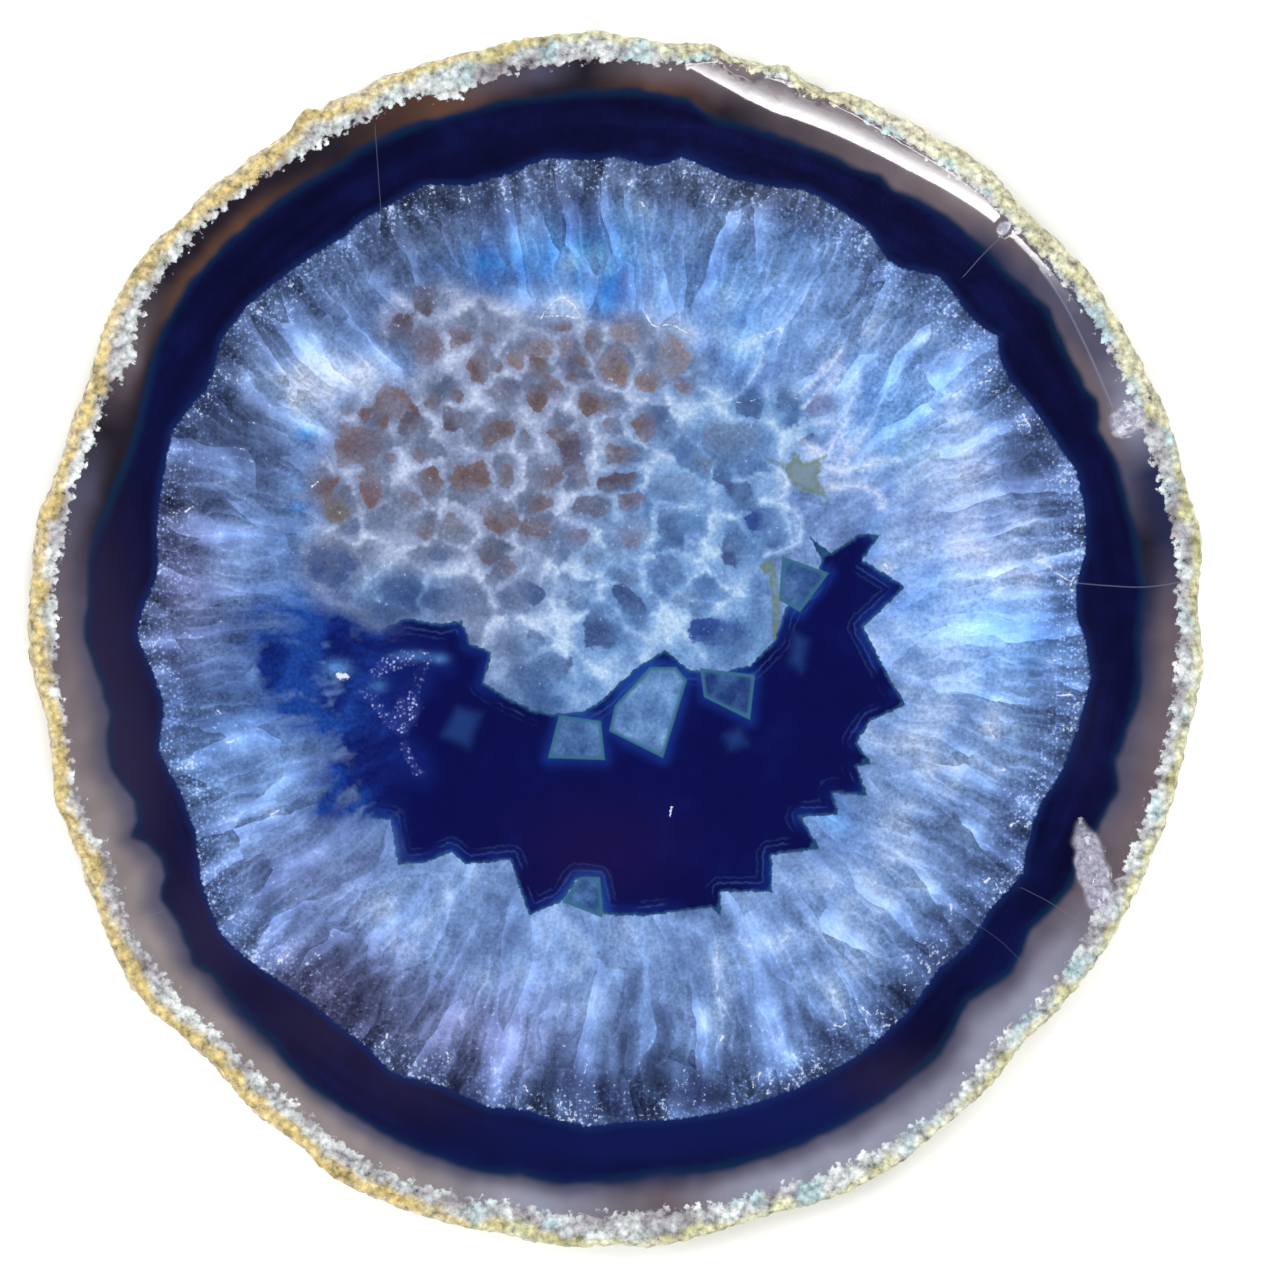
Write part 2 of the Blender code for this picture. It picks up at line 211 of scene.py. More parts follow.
# Soft patches of the quartz: px, py, half width, half height, strength
MILK = [
    (960, 520, 110, 160, 0.17), (1000, 575, 60, 40, 0.24), (880, 860, 90, 55, 0.14), (800, 300, 90, 70, 0.08),
    (900, 420, 70, 60, 0.22), (320, 388, 62, 36, 0.36), (375, 372, 40, 20, 0.20), (480, 960, 60, 50, 0.04),
    (840, 940, 60, 45, 0.20), (700, 240, 60, 60, 0.05), (640, 215, 40, 22, 0.02), (566, 304, 26, 10, 0.08), (690, 335, 40, 14, 0.25),
    (940, 700, 60, 100, 0.18), (620, 940, 90, 40, 0.10), (400, 900, 60, 40, 0.12), (620, 172, 260, 24, 0.0),
    (180, 520, 45, 90, -0.10), (212, 562, 40, 34, 0.14), (250, 730, 80, 120, -0.02), (235, 400, 45, 60, -0.32), (400, 240, 70, 45, -0.05),
    (500, 195, 120, 30, -0.08), (1045, 790, 26, 120, -0.08), (600, 1090, 260, 30, -0.26), (360, 980, 60, 50, -0.22),
    (980, 960, 60, 60, -0.22), (900, 1020, 80, 40, -0.2), (830, 200, 110, 40, -0.07), (1020, 420, 40, 80, -0.24), (1000, 862, 34, 34, -0.14),
    (300, 860, 60, 50, -0.06), (740, 560, 30, 60, 0.10), (400, 594, 56, 20, -0.50), (1000, 645, 50, 34, 0.14),
    (560, 250, 60, 26, 0.09), (742, 330, 30, 30, 0.04), (340, 920, 50, 40, 0.0), (620, 540, 46, 32, 0.3),
]
AZURE = [
    (505, 268, 50, 22, 0.8), (560, 250, 50, 28, 0.9), (622, 258, 40, 42, 0.9), (700, 262, 30, 40, 0.35),
    (742, 330, 22, 46, 0.9), (905, 440, 34, 38, 0.9), (800, 240, 40, 30, 0.25), (315, 600, 30, 60, 0.6),
    (310, 660, 26, 40, 0.8), (308, 435, 11, 8, 1.1), (301, 506, 9, 6, 1.1), (303, 488, 9, 6, 1.0),
    (832, 818, 26, 26, 0.7), (470, 262, 30, 14, 0.5), (870, 540, 16, 20, 0.6), (600, 300, 20, 20, 0.6),
    (1000, 640, 60, 40, 0.25), (940, 600, 60, 50, 0.2), (250, 700, 70, 90, 0.2), (640, 352, 14, 10, 0.5),
]
# Where the pocket's blue spreads into the quartz
POCKET_HAZE = [
    (302, 662, 36, 46, 1.0), (272, 632, 34, 50, 0.6), (330, 700, 30, 30, 0.8), (300, 705, 26, 22, 0.45),
    (350, 766, 22, 38, 1.5), (335, 806, 24, 24, 0.8), (255, 690, 30, 30, 0.25),
]
# Patches that lend the quartz a colour and leave its lights and darks
TINTS = [
    ((118, 100, 134), [(175, 560, 36, 90, 0.3), (200, 620, 40, 60, 0.1), (320, 990, 70, 50, 0.4),
                       (460, 1040, 90, 50, 0.3)]),
    ((96, 100, 112), [(620, 178, 260, 26, 0.3), (400, 230, 80, 50, 0.2), (250, 380, 40, 90, 0.2),
                      (800, 200, 90, 30, 0.3)]),
    ((150, 140, 196), [(960, 520, 90, 90, 0.12), (300, 870, 70, 40, 0.2)]),
    ((80, 150, 236), [(900, 400, 60, 50, 0.5), (1000, 640, 60, 50, 0.35), (940, 600, 60, 50, 0.3),
                      (250, 700, 70, 70, 0.1), (760, 300, 60, 60, 0.3)]),
]
SLATE_CORNER = [(400, 595, 60, 24, 0.9)]  # where the honeycomb's lower left turns slate blue
NAVY_PLUM = [
    (95, 640, 40, 130, 0.9), (130, 780, 40, 90, 0.9), (210, 930, 50, 60, 0.9), (320, 1020, 70, 40, 0.7),
    (430, 1080, 80, 40, 0.6), (900, 1085, 70, 30, 0.8), (600, 850, 70, 45, 0.8), (1080, 700, 20, 60, 0.4),
]
NAVY_BLUE = [(620, 1140, 160, 30, 0.8), (800, 1110, 70, 30, 0.7), (160, 420, 40, 60, 0.2), (1030, 980, 60, 60, 0.4)]
# The smoky band: (degrees, its tone beside the navy, its tone beside the rind)
UMBER, DUSK, TAUPE, ASH = (92, 66, 54), (36, 31, 42), (108, 96, 104), (146, 136, 138)
INK, LEAD, PEWTER = (42, 46, 80), (84, 82, 104), (146, 148, 168)
SMOKE = [
    (0, INK, TAUPE), (10, DUSK, INK), (17, LEAD, INK), (23, TAUPE, PEWTER), (30, TAUPE, LEAD),
    (38, LEAD, LEAD), (45, INK, TAUPE), (52, TAUPE, ASH), (60, TAUPE, TAUPE), (78, DUSK, TAUPE),
    (86, UMBER, TAUPE), (93, DUSK, DUSK), (98, DUSK, LEAD), (108, UMBER, UMBER), (120, DUSK, DUSK),
    (132, UMBER, DUSK), (141, UMBER, DUSK), (150, DUSK, TAUPE), (158, DUSK, DUSK), (165, DUSK, LEAD),
    (180, LEAD, TAUPE), (200, LEAD, ASH), (215, LEAD, ASH), (225, INK, ASH), (235, LEAD, ASH),
    (250, LEAD, ASH), (262, LEAD, PEWTER), (275, INK, TAUPE), (285, LEAD, PEWTER), (300, LEAD, PEWTER),
    (320, LEAD, PEWTER), (335, TAUPE, TAUPE), (342, LEAD, TAUPE), (350, LEAD, TAUPE),
]
# Scales of tones from dark to light, as (0 to 1, colour)
QUARTZ_TONES = [
    (0.0, (38, 46, 82)), (0.25, (70, 90, 134)), (0.45, (102, 130, 184)), (0.62, (134, 168, 226)),
    (0.8, (178, 204, 248)), (1.0, (212, 224, 252)),
]
AZURE_TONES = [(0.15, (14, 52, 140)), (0.4, (34, 100, 196)), (0.6, (84, 156, 232)), (0.9, (176, 216, 252))]
GREY_FOG = [(0.1, (84, 94, 126)), (0.42, (118, 130, 160)), (0.62, (144, 158, 194)), (0.95, (196, 208, 236))]
BLUE_FOG = [(-0.1, (34, 58, 118)), (0.1, (56, 88, 142)), (0.42, (94, 132, 186)), (0.62, (124, 164, 216)), (0.95, (186, 214, 246))]
POCKET_TONES = [(0.0, (8, 11, 62)), (0.3, (10, 14, 78)), (0.6, (15, 32, 108)), (1.0, (28, 66, 150))]
NAVY_TONES = [(0.25, (7, 8, 42)), (0.5, (10, 12, 54)), (0.75, (14, 20, 70))]
RIND_TONES = [(0.0, (122, 114, 120)), (0.35, (178, 176, 182)), (0.6, (208, 214, 216)), (1.0, (236, 240, 238))]
OCHRE_TONES = [(0.0, (190, 184, 118)), (0.5, (216, 216, 166)), (1.0, (240, 240, 212))]
GOLD, CREAM = (222, 192, 116), (232, 224, 200)
# White seams between crystals and other fine bright lines: half width in mm, strength, pixels along it
SEAMS = [
    (0.20, 0.9, [(541, 318), (553, 300), (566, 297), (586, 320), (560, 315), (541, 318)]),
    (0.18, 0.9, [(643, 308), (652, 328), (668, 324), (690, 333)]),
    (0.16, 0.8, [(742, 346), (775, 330), (784, 326), (772, 360), (760, 350)]),
    (0.16, 0.6, [(725, 398), (742, 404), (760, 398)]),
    (0.12, 0.5, [(835, 350), (828, 372), (812, 392), (806, 420)]),
    (0.12, 0.4, [(760, 240), (742, 262), (728, 300)]),
    (0.14, 0.6, [(905, 546), (940, 548), (952, 544), (985, 558)]),
    (0.16, 0.9, [(1040, 560), (1062, 578), (1076, 583)]),
    (0.12, 0.5, [(1010, 570), (1040, 576), (1068, 581)]),
    (0.14, 0.7, [(738, 940), (750, 945), (755, 958)]),
    (0.14, 0.7, [(768, 941), (776, 950), (786, 941), (788, 931)]),
    (0.16, 0.7, [(718, 944), (715, 974), (719, 1001), (725, 1016)]),
    (0.10, 0.4, [(788, 962), (815, 979), (837, 1001)]),
    (0.18, 0.9, [(832, 992), (845, 1012), (847, 1028), (834, 1026)]),
    (0.14, 0.6, [(760, 1008), (770, 1040), (778, 1045), (785, 1028)]),
    (0.12, 0.5, [(610, 1066), (614, 1088), (624, 1104)]),
    (0.14, 0.6, [(212, 485), (225, 482), (238, 474)]),
    (0.12, 0.5, [(285, 550), (305, 556), (325, 548)]),
    (0.12, 0.6, [(776, 528), (790, 530), (800, 534)]),
    (0.12, 0.45, [(720, 1180), (732, 1172), (746, 1168)]),
]
# Milky edges of the honeycomb's crystals: strength, pixels along it
EDGES = [
    (1.0, [(793, 396), (818, 379), (842, 349)]),
    (1.0, [(804, 404), (826, 393), (844, 366)]),
    (1.0, [(829, 450), (842, 426), (853, 396), (859, 374)]),
    (1.0, [(848, 453), (875, 418), (884, 393)]),
    (0.9, [(801, 437), (821, 456), (848, 459)]),
    (0.8, [(815, 423), (837, 420), (845, 445)]),
    (1.0, [(826, 467), (848, 472), (873, 461), (900, 459)]),
    (1.0, [(703, 387), (714, 393), (726, 404), (749, 385), (760, 363)]),
    (0.9, [(832, 486), (873, 486), (884, 508)]),
    (0.7, [(711, 467), (714, 483)]),
    (1.0, [(758, 500), (788, 505), (801, 519), (801, 538), (793, 546), (763, 557)]),
    (0.8, [(659, 519), (673, 508), (703, 505)]),
    (0.8, [(771, 464), (785, 475), (788, 491), (777, 500)]),
    (0.8, [(513, 414), (555, 398), (586, 414), (597, 440)]),
    (0.7, [(586, 451), (639, 451), (649, 466), (618, 477)]),
    (0.8, [(513, 514), (544, 535), (560, 508), (576, 493)]),
    (0.8, [(628, 398), (649, 461), (639, 514)]),
    (0.7, [(471, 556), (492, 598), (507, 629)]),
    (0.7, [(555, 556), (534, 587), (555, 608), (597, 587)]),
    (0.7, [(597, 535), (628, 577), (660, 566)]),
    (0.8, [(649, 535), (660, 577), (681, 598), (723, 603)]),
    (0.9, [(492, 603), (523, 619), (560, 640), (576, 677)]),
    (0.9, [(649, 640), (597, 608), (576, 619)]),
    (0.7, [(697, 535), (718, 556), (755, 556)]),
    (0.9, [(660, 603), (681, 629), (707, 661)]),
]
EDGE_WIDTH = 0.4  # mm to either side of an edge
# Painted highlights: single glints where crystal faces catch the light: px, py, length in pixels, turn in degrees
GLINTS = [
    (1026, 420, 15, 118), (1072, 582, 10, 69), (999, 889, 10, 125), (991, 732, 15, 115),
    (866, 1011, 12, 143), (815, 450, 10, 137), (284, 958, 11, 37), (315, 484, 8, 41), (231, 741, 9, 22),
    (1064, 695, 14, 3), (943, 765, 12, 165), (984, 382, 9, 17), (189, 764, 9, 35), (951, 908, 9, 92),
    (630, 183, 7, 68), (495, 1071, 12, 94), (1023, 800, 8, 59), (276, 812, 11, 28), (794, 1057, 9, 106),
    (469, 200, 6, 115), (293, 401, 7, 145), (217, 710, 11, 136), (721, 1039, 7, 68), (1002, 770, 7, 8),
    (671, 810, 8, 83), (385, 1039, 11, 57), (989, 879, 7, 29), (921, 340, 10, 168), (189, 509, 8, 35),
    (179, 768, 7, 14), (990, 371, 7, 46), (643, 204, 6, 131), (1051, 660, 9, 171), (966, 346, 8, 44),
    (956, 394, 9, 32), (586, 1066, 8, 83), (1015, 823, 8, 29), (525, 1088, 6, 128), (420, 212, 6, 135),
    (713, 199, 6, 63), (406, 1038, 6, 171), (1040, 828, 9, 64), (770, 1086, 18, 70), (448, 1057, 7, 94),
    (759, 1075, 6, 59), (447, 292, 6, 20), (886, 567, 6, 127), (869, 465, 7, 13), (560, 1106, 8, 80),
]
GLINT = (0.30, 0.8)  # half width in mm and strength of every glint
# A painted highlight in the small hole beside the vug: half width in mm, strength, pixels along it
VUG_GLINT = (0.8, 1.0, [(338, 675), (346, 676)])
# Fine cracks through the dark bands, and last a painted highlight along the ridge of the rolled edge: half width in
# mm, strength, pixels along it
CRACKS_AND_RIDGE_HIGHLIGHT = [
    (0.07, 0.35, [(375, 126), (378, 170), (381, 212)]),
    (0.09, 0.45, [(1004, 234), (985, 252), (964, 276)]),
    (0.10, 0.50, [(1076, 583), (1110, 586), (1150, 588), (1200, 578)]),
    (0.08, 0.30, [(1022, 888), (1050, 902), (1080, 922)]),
    (0.06, 0.22, [(968, 918), (1000, 940), (1018, 958)]),
    (0.06, 0.30, [(160, 912), (140, 918), (122, 922)]),
    # Painted highlight: the ridge of the rolled edge catching the light, drawn in the cracks' colour
    (0.22, 0.55, [(1040, 268), (1064, 302), (1086, 346), (1102, 382), (1113, 408)]),
]


def mm_from_pixels(points):
    """Pixels of the photograph as mm from the bands' middle, +Y up."""
    points = np.array(points, float)
    return np.stack([(points[..., 0] - MIDDLE[0]) * PIXEL, (MIDDLE[1] - points[..., 1]) * PIXEL], -1)


def fade(value, start, end):
    """0 at start and beyond, 1 at end and beyond, smooth between."""
    t = np.clip((value - start) / (end - start), 0.0, 1.0)
    return t * t * (3 - 2 * t)


def round_curve(points, degrees):
    """Values at angles of the closed curve through (degrees, value) points."""
    knots = np.array(points, float)
    return np.interp(degrees % 360.0, knots[:, 0], knots[:, 1], period=360.0)


def grain(x, y, z, size, seed=0.0, basis="PERLIN_ORIGINAL"):
    """Noise of about one feature to a size in mm, at many points."""
    points = np.stack([x / size + seed, y / size - seed, z / size], 1)
    return np.array([noise.noise(p, noise_basis=basis) for p in points])


def smoothed(pixels):
    """A line with its corners cut twice over, and its ends kept."""
    line = np.array(pixels, float)
    for _ in range(2):
        near, far = line[:-1], line[1:]
        cut = np.stack([0.75 * near + 0.25 * far, 0.25 * near + 0.75 * far], 1)
        line = np.vstack([line[:1], cut.reshape(-1, 2), line[-1:]])
    return line


def distance_to_line(x, y, corners, closed):
    """Distance in mm from many points to a polyline."""
    ends = np.roll(corners, -1, axis=0) if closed else corners[1:]
    starts = corners if closed else corners[:-1]
    nearest = np.full(len(x), 1e9)
    for (ax, ay), (bx, by) in zip(starts, ends):
        dx, dy = bx - ax, by - ay
        along = np.clip(((x - ax) * dx + (y - ay) * dy) / (dx * dx + dy * dy), 0.0, 1.0)
        nearest = np.minimum(nearest, np.hypot(x - ax - along * dx, y - ay - along * dy))
    return nearest


def inside(x, y, corners):
    """Which points lie inside a polygon."""
    odd = np.zeros(len(x), bool)
    for (ax, ay), (bx, by) in zip(corners, np.roll(corners, -1, axis=0)):
        crosses = (ay > y) != (by > y)
        reach = ax + (y - ay) * (bx - ax) / np.where(by == ay, 1e-9, by - ay)
        odd ^= crosses & (x < reach)
    return odd


def depth_in(x, y, pixels):
    """How deep points lie in a polygon given in pixels, in mm, and negative outside it."""
    corners = mm_from_pixels(pixels)
    distance = distance_to_line(x, y, corners, True)
    return np.where(inside(x, y, corners), distance, -distance)


def patches(x, y, spots):
    """The sum of soft round patches."""
    total = np.zeros(len(x))
    for px, py, half_width, half_height, strength in spots:
        cx, cy = mm_from_pixels((px, py))
        u = (x - cx) / (half_width * PIXEL)
        v = (y - cy) / (half_height * PIXEL)
        total += strength * np.exp(-0.5 * (u * u + v * v) * 1.6)
    return total


# Mesh

AROUND = 1000  # points round the edge
WALL_ROWS = 11
WALL_GRAIN = 0.32  # mm that the skin's fine grain digs in
OUTSIDE = 90.0  # mm from the middle, beyond the rim
FINE, MIDDLING, COARSE, BACK = 0.27, 0.45, 0.60, 2.6  # mm between points
CENTRE_REACH = 37.0  # mm round the pocket and honeycomb that take the middling spacing
UV_FRONT, UV_BACK = 0.8, 0.37  # width of each disc of the unwrapped surface
GLOW = 0.8  # mm that the glow of a bright line reaches
RAY_REACH = 58.0  # mm from the middle at which the crystals have their measured width
RAY_SQUEEZE = 0.35  # how much shorter a crystal is drawn along its ray than it is
WINDOW_SIDES = 6

LIGHT = 1.45  # how much brighter than its own colour a lit surface shows

rng = np.random.default_rng(7)
window_rng = np.random.default_rng(11)


def dash(px, py, length, turn):
    """The two ends, in pixels, of a short line about a place."""
    a = math.radians(turn)
    reach_x, reach_y = length / 2 * math.cos(a), -length / 2 * math.sin(a)
    return [(px - reach_x, py - reach_y), (px + reach_x, py + reach_y)]


# The stone's white seams, together with the glints and the vug's glint as painted highlights
BRIGHT_LINES = SEAMS + [VUG_GLINT] + [(*GLINT, dash(*glint)) for glint in GLINTS]


def linear(colour):
    """A photographed colour, 0 to 255, as linear light."""
    c = np.array(colour, float) / 255.0
    return np.where(c <= 0.04045, c / 12.92, ((c + 0.055) / 1.055) ** 2.4)


def cad_tree():
    """The solid as a tree for rays, in mm from the bands' middle."""
    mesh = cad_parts["agate_slice"].data
    verts = [
        Vector((v.co.x / MM - MIDDLE_X, v.co.y / MM - MIDDLE_Y, v.co.z / MM)) for v in mesh.vertices
    ]
    return BVHTree.FromPolygons(verts, [list(face.vertices) for face in mesh.polygons])


def roll_off(degrees, radius):
    """How far in mm the rolled edge has dropped, so far from the middle."""
    past = np.clip(radius - round_curve(CREASE, degrees) * PIXEL, 0.0, 8.0)
    return ROLL_SLOPE * past + ROLL_BEND * past**2


def radii_at(tree, turn, heights):
    """How far from the middle the solid's skin is, at so many angles and heights."""
    radii = []
    for t, z in zip(turn, heights):
        out = Vector((math.cos(t), math.sin(t), 0.0))
        hit = tree.ray_cast(Vector((0, 0, z)) + out * OUTSIDE, -out)
        radii.append(OUTSIDE - hit[3])
    return np.array(radii)


def wall_rows():
    """Rows of (x, y, z) up the skin, from the back face's rim to the front face's."""
    tree = cad_tree()
    degrees = np.arange(AROUND) * 360.0 / AROUND
    turn = np.radians(degrees)
    drop = np.maximum(roll_off(degrees, radii_at(tree, turn, np.full(AROUND, THICKNESS - 2 * ARRIS))), ARRIS)
    rows = []
    for share in np.linspace(0.0, 1.0, WALL_ROWS):
        heights = ARRIS + share * (THICKNESS - drop - ARRIS)
        radii = radii_at(tree, turn, heights)
        x, y = np.cos(turn) * radii, np.sin(turn) * radii
        knobs = fade(grain(x, y, heights, 1.1, 3.0, "VORONOI_F1"), -0.5, 0.6)
        fine = fade(grain(x, y, heights, 0.5, 9.0), -0.4, 0.4)
        radii -= WALL_GRAIN * (0.65 * knobs + 0.35 * fine)
        rows.append(np.stack([np.cos(turn) * radii, np.sin(turn) * radii, heights], 1))
    return rows


def hex_points(spacing, reach):
    """A jittered triangular grid over a disc."""
    rows = np.arange(-reach, reach, spacing * math.sqrt(3) / 2)
    columns = np.arange(-reach, reach, spacing)
    x, y = np.meshgrid(columns, rows)
    x = x + (np.arange(len(rows)) % 2)[:, None] * spacing / 2
    points = np.stack([x.ravel(), y.ravel()], 1)
    return points + rng.uniform(-0.16, 0.16, points.shape) * spacing


def along(pixels, step, offsets, closed=False):
    """Points along a line of pixels, at sideways offsets in mm."""
    corners = mm_from_pixels(pixels)
    if closed:
        corners = np.vstack([corners, corners[:1]])
    found = []
    for start, end in zip(corners[:-1], corners[1:]):
        length = math.hypot(*(end - start))
        side = np.array([-(end - start)[1], (end - start)[0]]) / length
        for share in np.arange(0.0, 1.0, step / length):
            found += [start + (end - start) * share + side * offset for offset in offsets]
    return found


def chip_reach(x, y, chip):
    """0 in the middle of a chip and 1 at its rim."""
    px, py, length, width, _, turn = chip
    cx, cy = mm_from_pixels((px, py))
    c, s = math.cos(math.radians(turn)), math.sin(math.radians(turn))
    u = ((x - cx) * c + (y - cy) * s) / (length / 2)
    v = ((y - cy) * c - (x - cx) * s) / (width / 2)
    return np.hypot(u, v) + 0.16 * grain(x, y, 0 * x, 1.6, 5.0)


def pit_depth(x, y):
    """Depth in mm of the vugs and chips under the polished face."""
    depth = np.zeros(len(x))
    for outline, deepest, slope in ((VUG, 0.16, 2.0), (VUG_TAIL, 0.1, 0.8)):
        near = depth_in(x, y, outline)
        crystals = 0.06 * grain(x, y, 0 * x, 0.45, 2.0, "VORONOI_F1")
        depth = np.maximum(depth, fade(near, -0.05, slope) * (deepest + crystals))
    for chip in CHIPS:
        deepest = chip[4]
        reach = chip_reach(x, y, chip)
        ripple = 0.06 * np.sin(reach * 16.0) * (reach < 1.0)
        depth = np.maximum(depth, deepest * np.clip(1 - reach * reach, 0.0, 1.0) + ripple)
    return np.maximum(depth, 0.0)


def angle_of(x, y):
    return np.degrees(np.arctan2(y, x)) % 360.0


def front_height(x, y, rim_radius):
    """The front face's height in mm, with the rolled edge, the arris, the pits and the rind's grain."""
    degrees = angle_of(x, y)
    radius = np.hypot(x, y)
    rim = np.interp(degrees, np.arange(AROUND) * 360.0 / AROUND, rim_radius, period=360.0)
    from_rim = rim - radius
    height = THICKNESS - np.maximum(roll_off(degrees, radius), ARRIS - from_rim)
    in_rind = fade(radius / PIXEL - round_curve(RIND_EDGE, degrees), -2.0, 8.0)
    pitted = fade(grain(x, y, 0 * x, 0.8, 4.0, "VORONOI_F1"), 0.0, 0.9)
    return height - pit_depth(x, y) - 0.10 * in_rind * pitted * (from_rim > 0.3)


def fill(rim, loose):
    """Triangles over a rim loop and the loose points inside it, by index into both together."""
    points = [Vector(p) for p in rim] + [Vector(p) for p in loose]
    _, _, faces, origins, _, _ = delaunay_2d_cdt(points, [], [list(range(len(rim)))], 1, 1e-7)
    first = [o[0] for o in origins]
    return [[first[i] for i in face] for face in faces]


def clear_of(points, taken, gap):
    """The points that aren't within a gap of taken ones, by a grid of cells that size."""
    cells = {(int(a), int(b)) for a, b in np.floor(np.array(taken) / gap)}
    keys = np.floor(points / gap).astype(int)
    near = [
        any((a + i, b + j) in cells for i in (-1, 0, 1) for j in (-1, 0, 1)) for a, b in keys
    ]
    return points[~np.array(near)]


def front_points(rim):
    """Loose points of the front face: rings at the edge, lines, and a finer grid where there is more to see."""
    degrees = np.arange(AROUND) * 360.0 / AROUND
    rim_radius = np.hypot(rim[:, 0], rim[:, 1])
    turn = np.radians(degrees)
    lines = []
    for inset in (ARRIS / 2, ARRIS):
        lines += list(np.stack([np.cos(turn), np.sin(turn)], 1) * (rim_radius - inset)[:, None])
    crease = round_curve(CREASE, degrees) * PIXEL
    around = np.stack([np.cos(turn), np.sin(turn)], 1)
    for past in (0.0, 0.35, 0.7):
        lines += list((around * (crease + past)[:, None])[rim_radius - crease > 1.5])
    for half_width, _, pixels in BRIGHT_LINES + CRACKS_AND_RIDGE_HIGHLIGHT:
        lines += along(smoothed(pixels), 0.22, (-half_width, -half_width / 2, 0.0, half_width / 2, half_width))
    for _, pixels in EDGES:
        lines += along(smoothed(pixels), 0.3, (-EDGE_WIDTH / 2, 0.0, EDGE_WIDTH / 2))
    for outline in [POCKET] + [outline for _, outline in CRYSTALS] + GHOST_CRYSTALS + OLIVE:
        lines += along(outline, 0.25, (-0.18, 0.0, 0.18), closed=True)
    lines = np.array(lines)

    def choose(spacing, wanted):
        points = hex_points(spacing, 78.0)
        x, y = points.T
        edge = np.interp(angle_of(x, y), degrees, rim_radius, period=360.0) - np.hypot(x, y)
        points = points[(edge > ARRIS + 0.6 * spacing) & (zone(x, y, edge) == wanted)]
        return clear_of(points, lines, 0.5 * spacing)

    def zone(x, y, edge):
        kind = np.full(len(x), 2)
        kind[np.hypot(x + 2.0, y + 1.0) < CENTRE_REACH] = 1
        kind[edge < 4.4] = 1
        for px, py, reach in ((395, 705, 8.5), (337, 672, 3.0), (1093, 870, 7.0), (1128, 419, 3.5)):
            cx, cy = mm_from_pixels((px, py))
            kind[np.hypot(x - cx, y - cy) < reach] = 0
        return kind

    grids = [choose(spacing, kind) for kind, spacing in enumerate((FINE, MIDDLING, COARSE))]
    return np.vstack([lines] + grids)


def slice_geometry():
    """Points in mm, triangles and quads, and which part of the surface each face is on."""
    rows = wall_rows()
    rim = rows[-1]
    rim_radius = np.hypot(rim[:, 0], rim[:, 1])
    loose = front_points(rim)
    front = np.column_stack([loose, front_height(loose[:, 0], loose[:, 1], rim_radius)])
    wall = np.vstack(rows[:-1][::-1])
    back_radius = np.hypot(rows[0][:, 0], rows[0][:, 1])
    turn = np.radians(np.arange(AROUND) * 360.0 / AROUND)
    inner = np.stack([np.cos(turn), np.sin(turn)], 1) * (back_radius - ARRIS)[:, None]
    grid = hex_points(BACK, 78.0)
    edge = np.interp(angle_of(*grid.T), np.degrees(turn), back_radius, period=360.0)
    grid = grid[edge - np.hypot(*grid.T) > ARRIS + 0.6 * BACK]
    back = np.vstack([inner, grid])

    points = np.vstack([rim, front, wall, np.column_stack([back, np.zeros(len(back))])])
    first_wall = AROUND + len(front)
    first_back = first_wall + len(wall)
    faces = fill(rim[:, :2], loose)
    kinds = [0] * len(faces)
    starts = [0] + [first_wall + k * AROUND for k in range(WALL_ROWS - 1)] + [first_back]
    for upper, lower in zip(starts[:-1], starts[1:]):
        for i in range(AROUND):
            j = (i + 1) % AROUND
            faces.append([upper + i, lower + i, lower + j, upper + j])
    kinds += [1] * (len(faces) - len(kinds))
    below = fill(inner, grid)
    faces += [[first_back + i for i in reversed(face)] for face in below]
    kinds += [2] * len(below)
    return points, faces, np.array(kinds), first_wall, first_back


points, faces, kinds, first_wall, first_back = slice_geometry()
x, y, z = points.T
radius = np.hypot(x, y)
degrees = angle_of(x, y)
is_wall = np.zeros(len(points))
is_wall[first_wall : first_back + AROUND] = 1.0

# Fields over the surface, which the material reads: depths in mm, positive inside what they name

rind_depth = radius - round_curve(RIND_EDGE, degrees) * PIXEL
navy_depth = radius - round_curve(NAVY_EDGE, degrees) * PIXEL
quartz_depth = round_curve(QUARTZ_EDGE, degrees) * PIXEL - radius
rim_radius = np.hypot(x[:AROUND], y[:AROUND])
skin_depth = np.interp(degrees, np.arange(AROUND) * 360.0 / AROUND, rim_radius, period=360.0) - radius
pocket_depth = depth_in(x, y, POCKET)
honeycomb_depth = depth_in(x, y, HONEYCOMB) + 1.2 * grain(x, y, 0 * x, 3.0, 6.0)
crystal_depths = np.array([depth_in(x, y, outline) for _, outline in CRYSTALS])
crystal_depth = crystal_depths.max(0)
ghost_depth = np.max([depth_in(x, y, outline) for outline in GHOST_CRYSTALS], 0)
olive_depth = np.max([depth_in(x, y, outline) for outline in OLIVE], 0)
vug_depth = np.maximum(depth_in(x, y, VUG), depth_in(x, y, VUG_TAIL)) + 0.3 * grain(x, y, 0 * x, 1.2, 13.0)
chip_depth = np.max([1 - chip_reach(x, y, chip) for chip in CHIPS], 0)


def layered(x, y, z, size, seed, layers=3):
    """Cloudy noise, about 0: each layer is half as large as the one before, and fainter."""
    return sum(0.6**k * grain(x, y, z, size / 2**k, seed + 5.0 * k) for k in range(layers))


def tone(value, stops):
    """Colours along a scale of photographed ones, as linear light."""
    at, colours = zip(*stops)
    return linear(np.stack([np.interp(value, at, channel) for channel in zip(*colours)], 1))


def blend(first, second, share):
    """Colours mixed: the first at a share of 0, the second at 1."""
    return first + (second - first) * np.clip(share, 0.0, 1.0)[:, None]


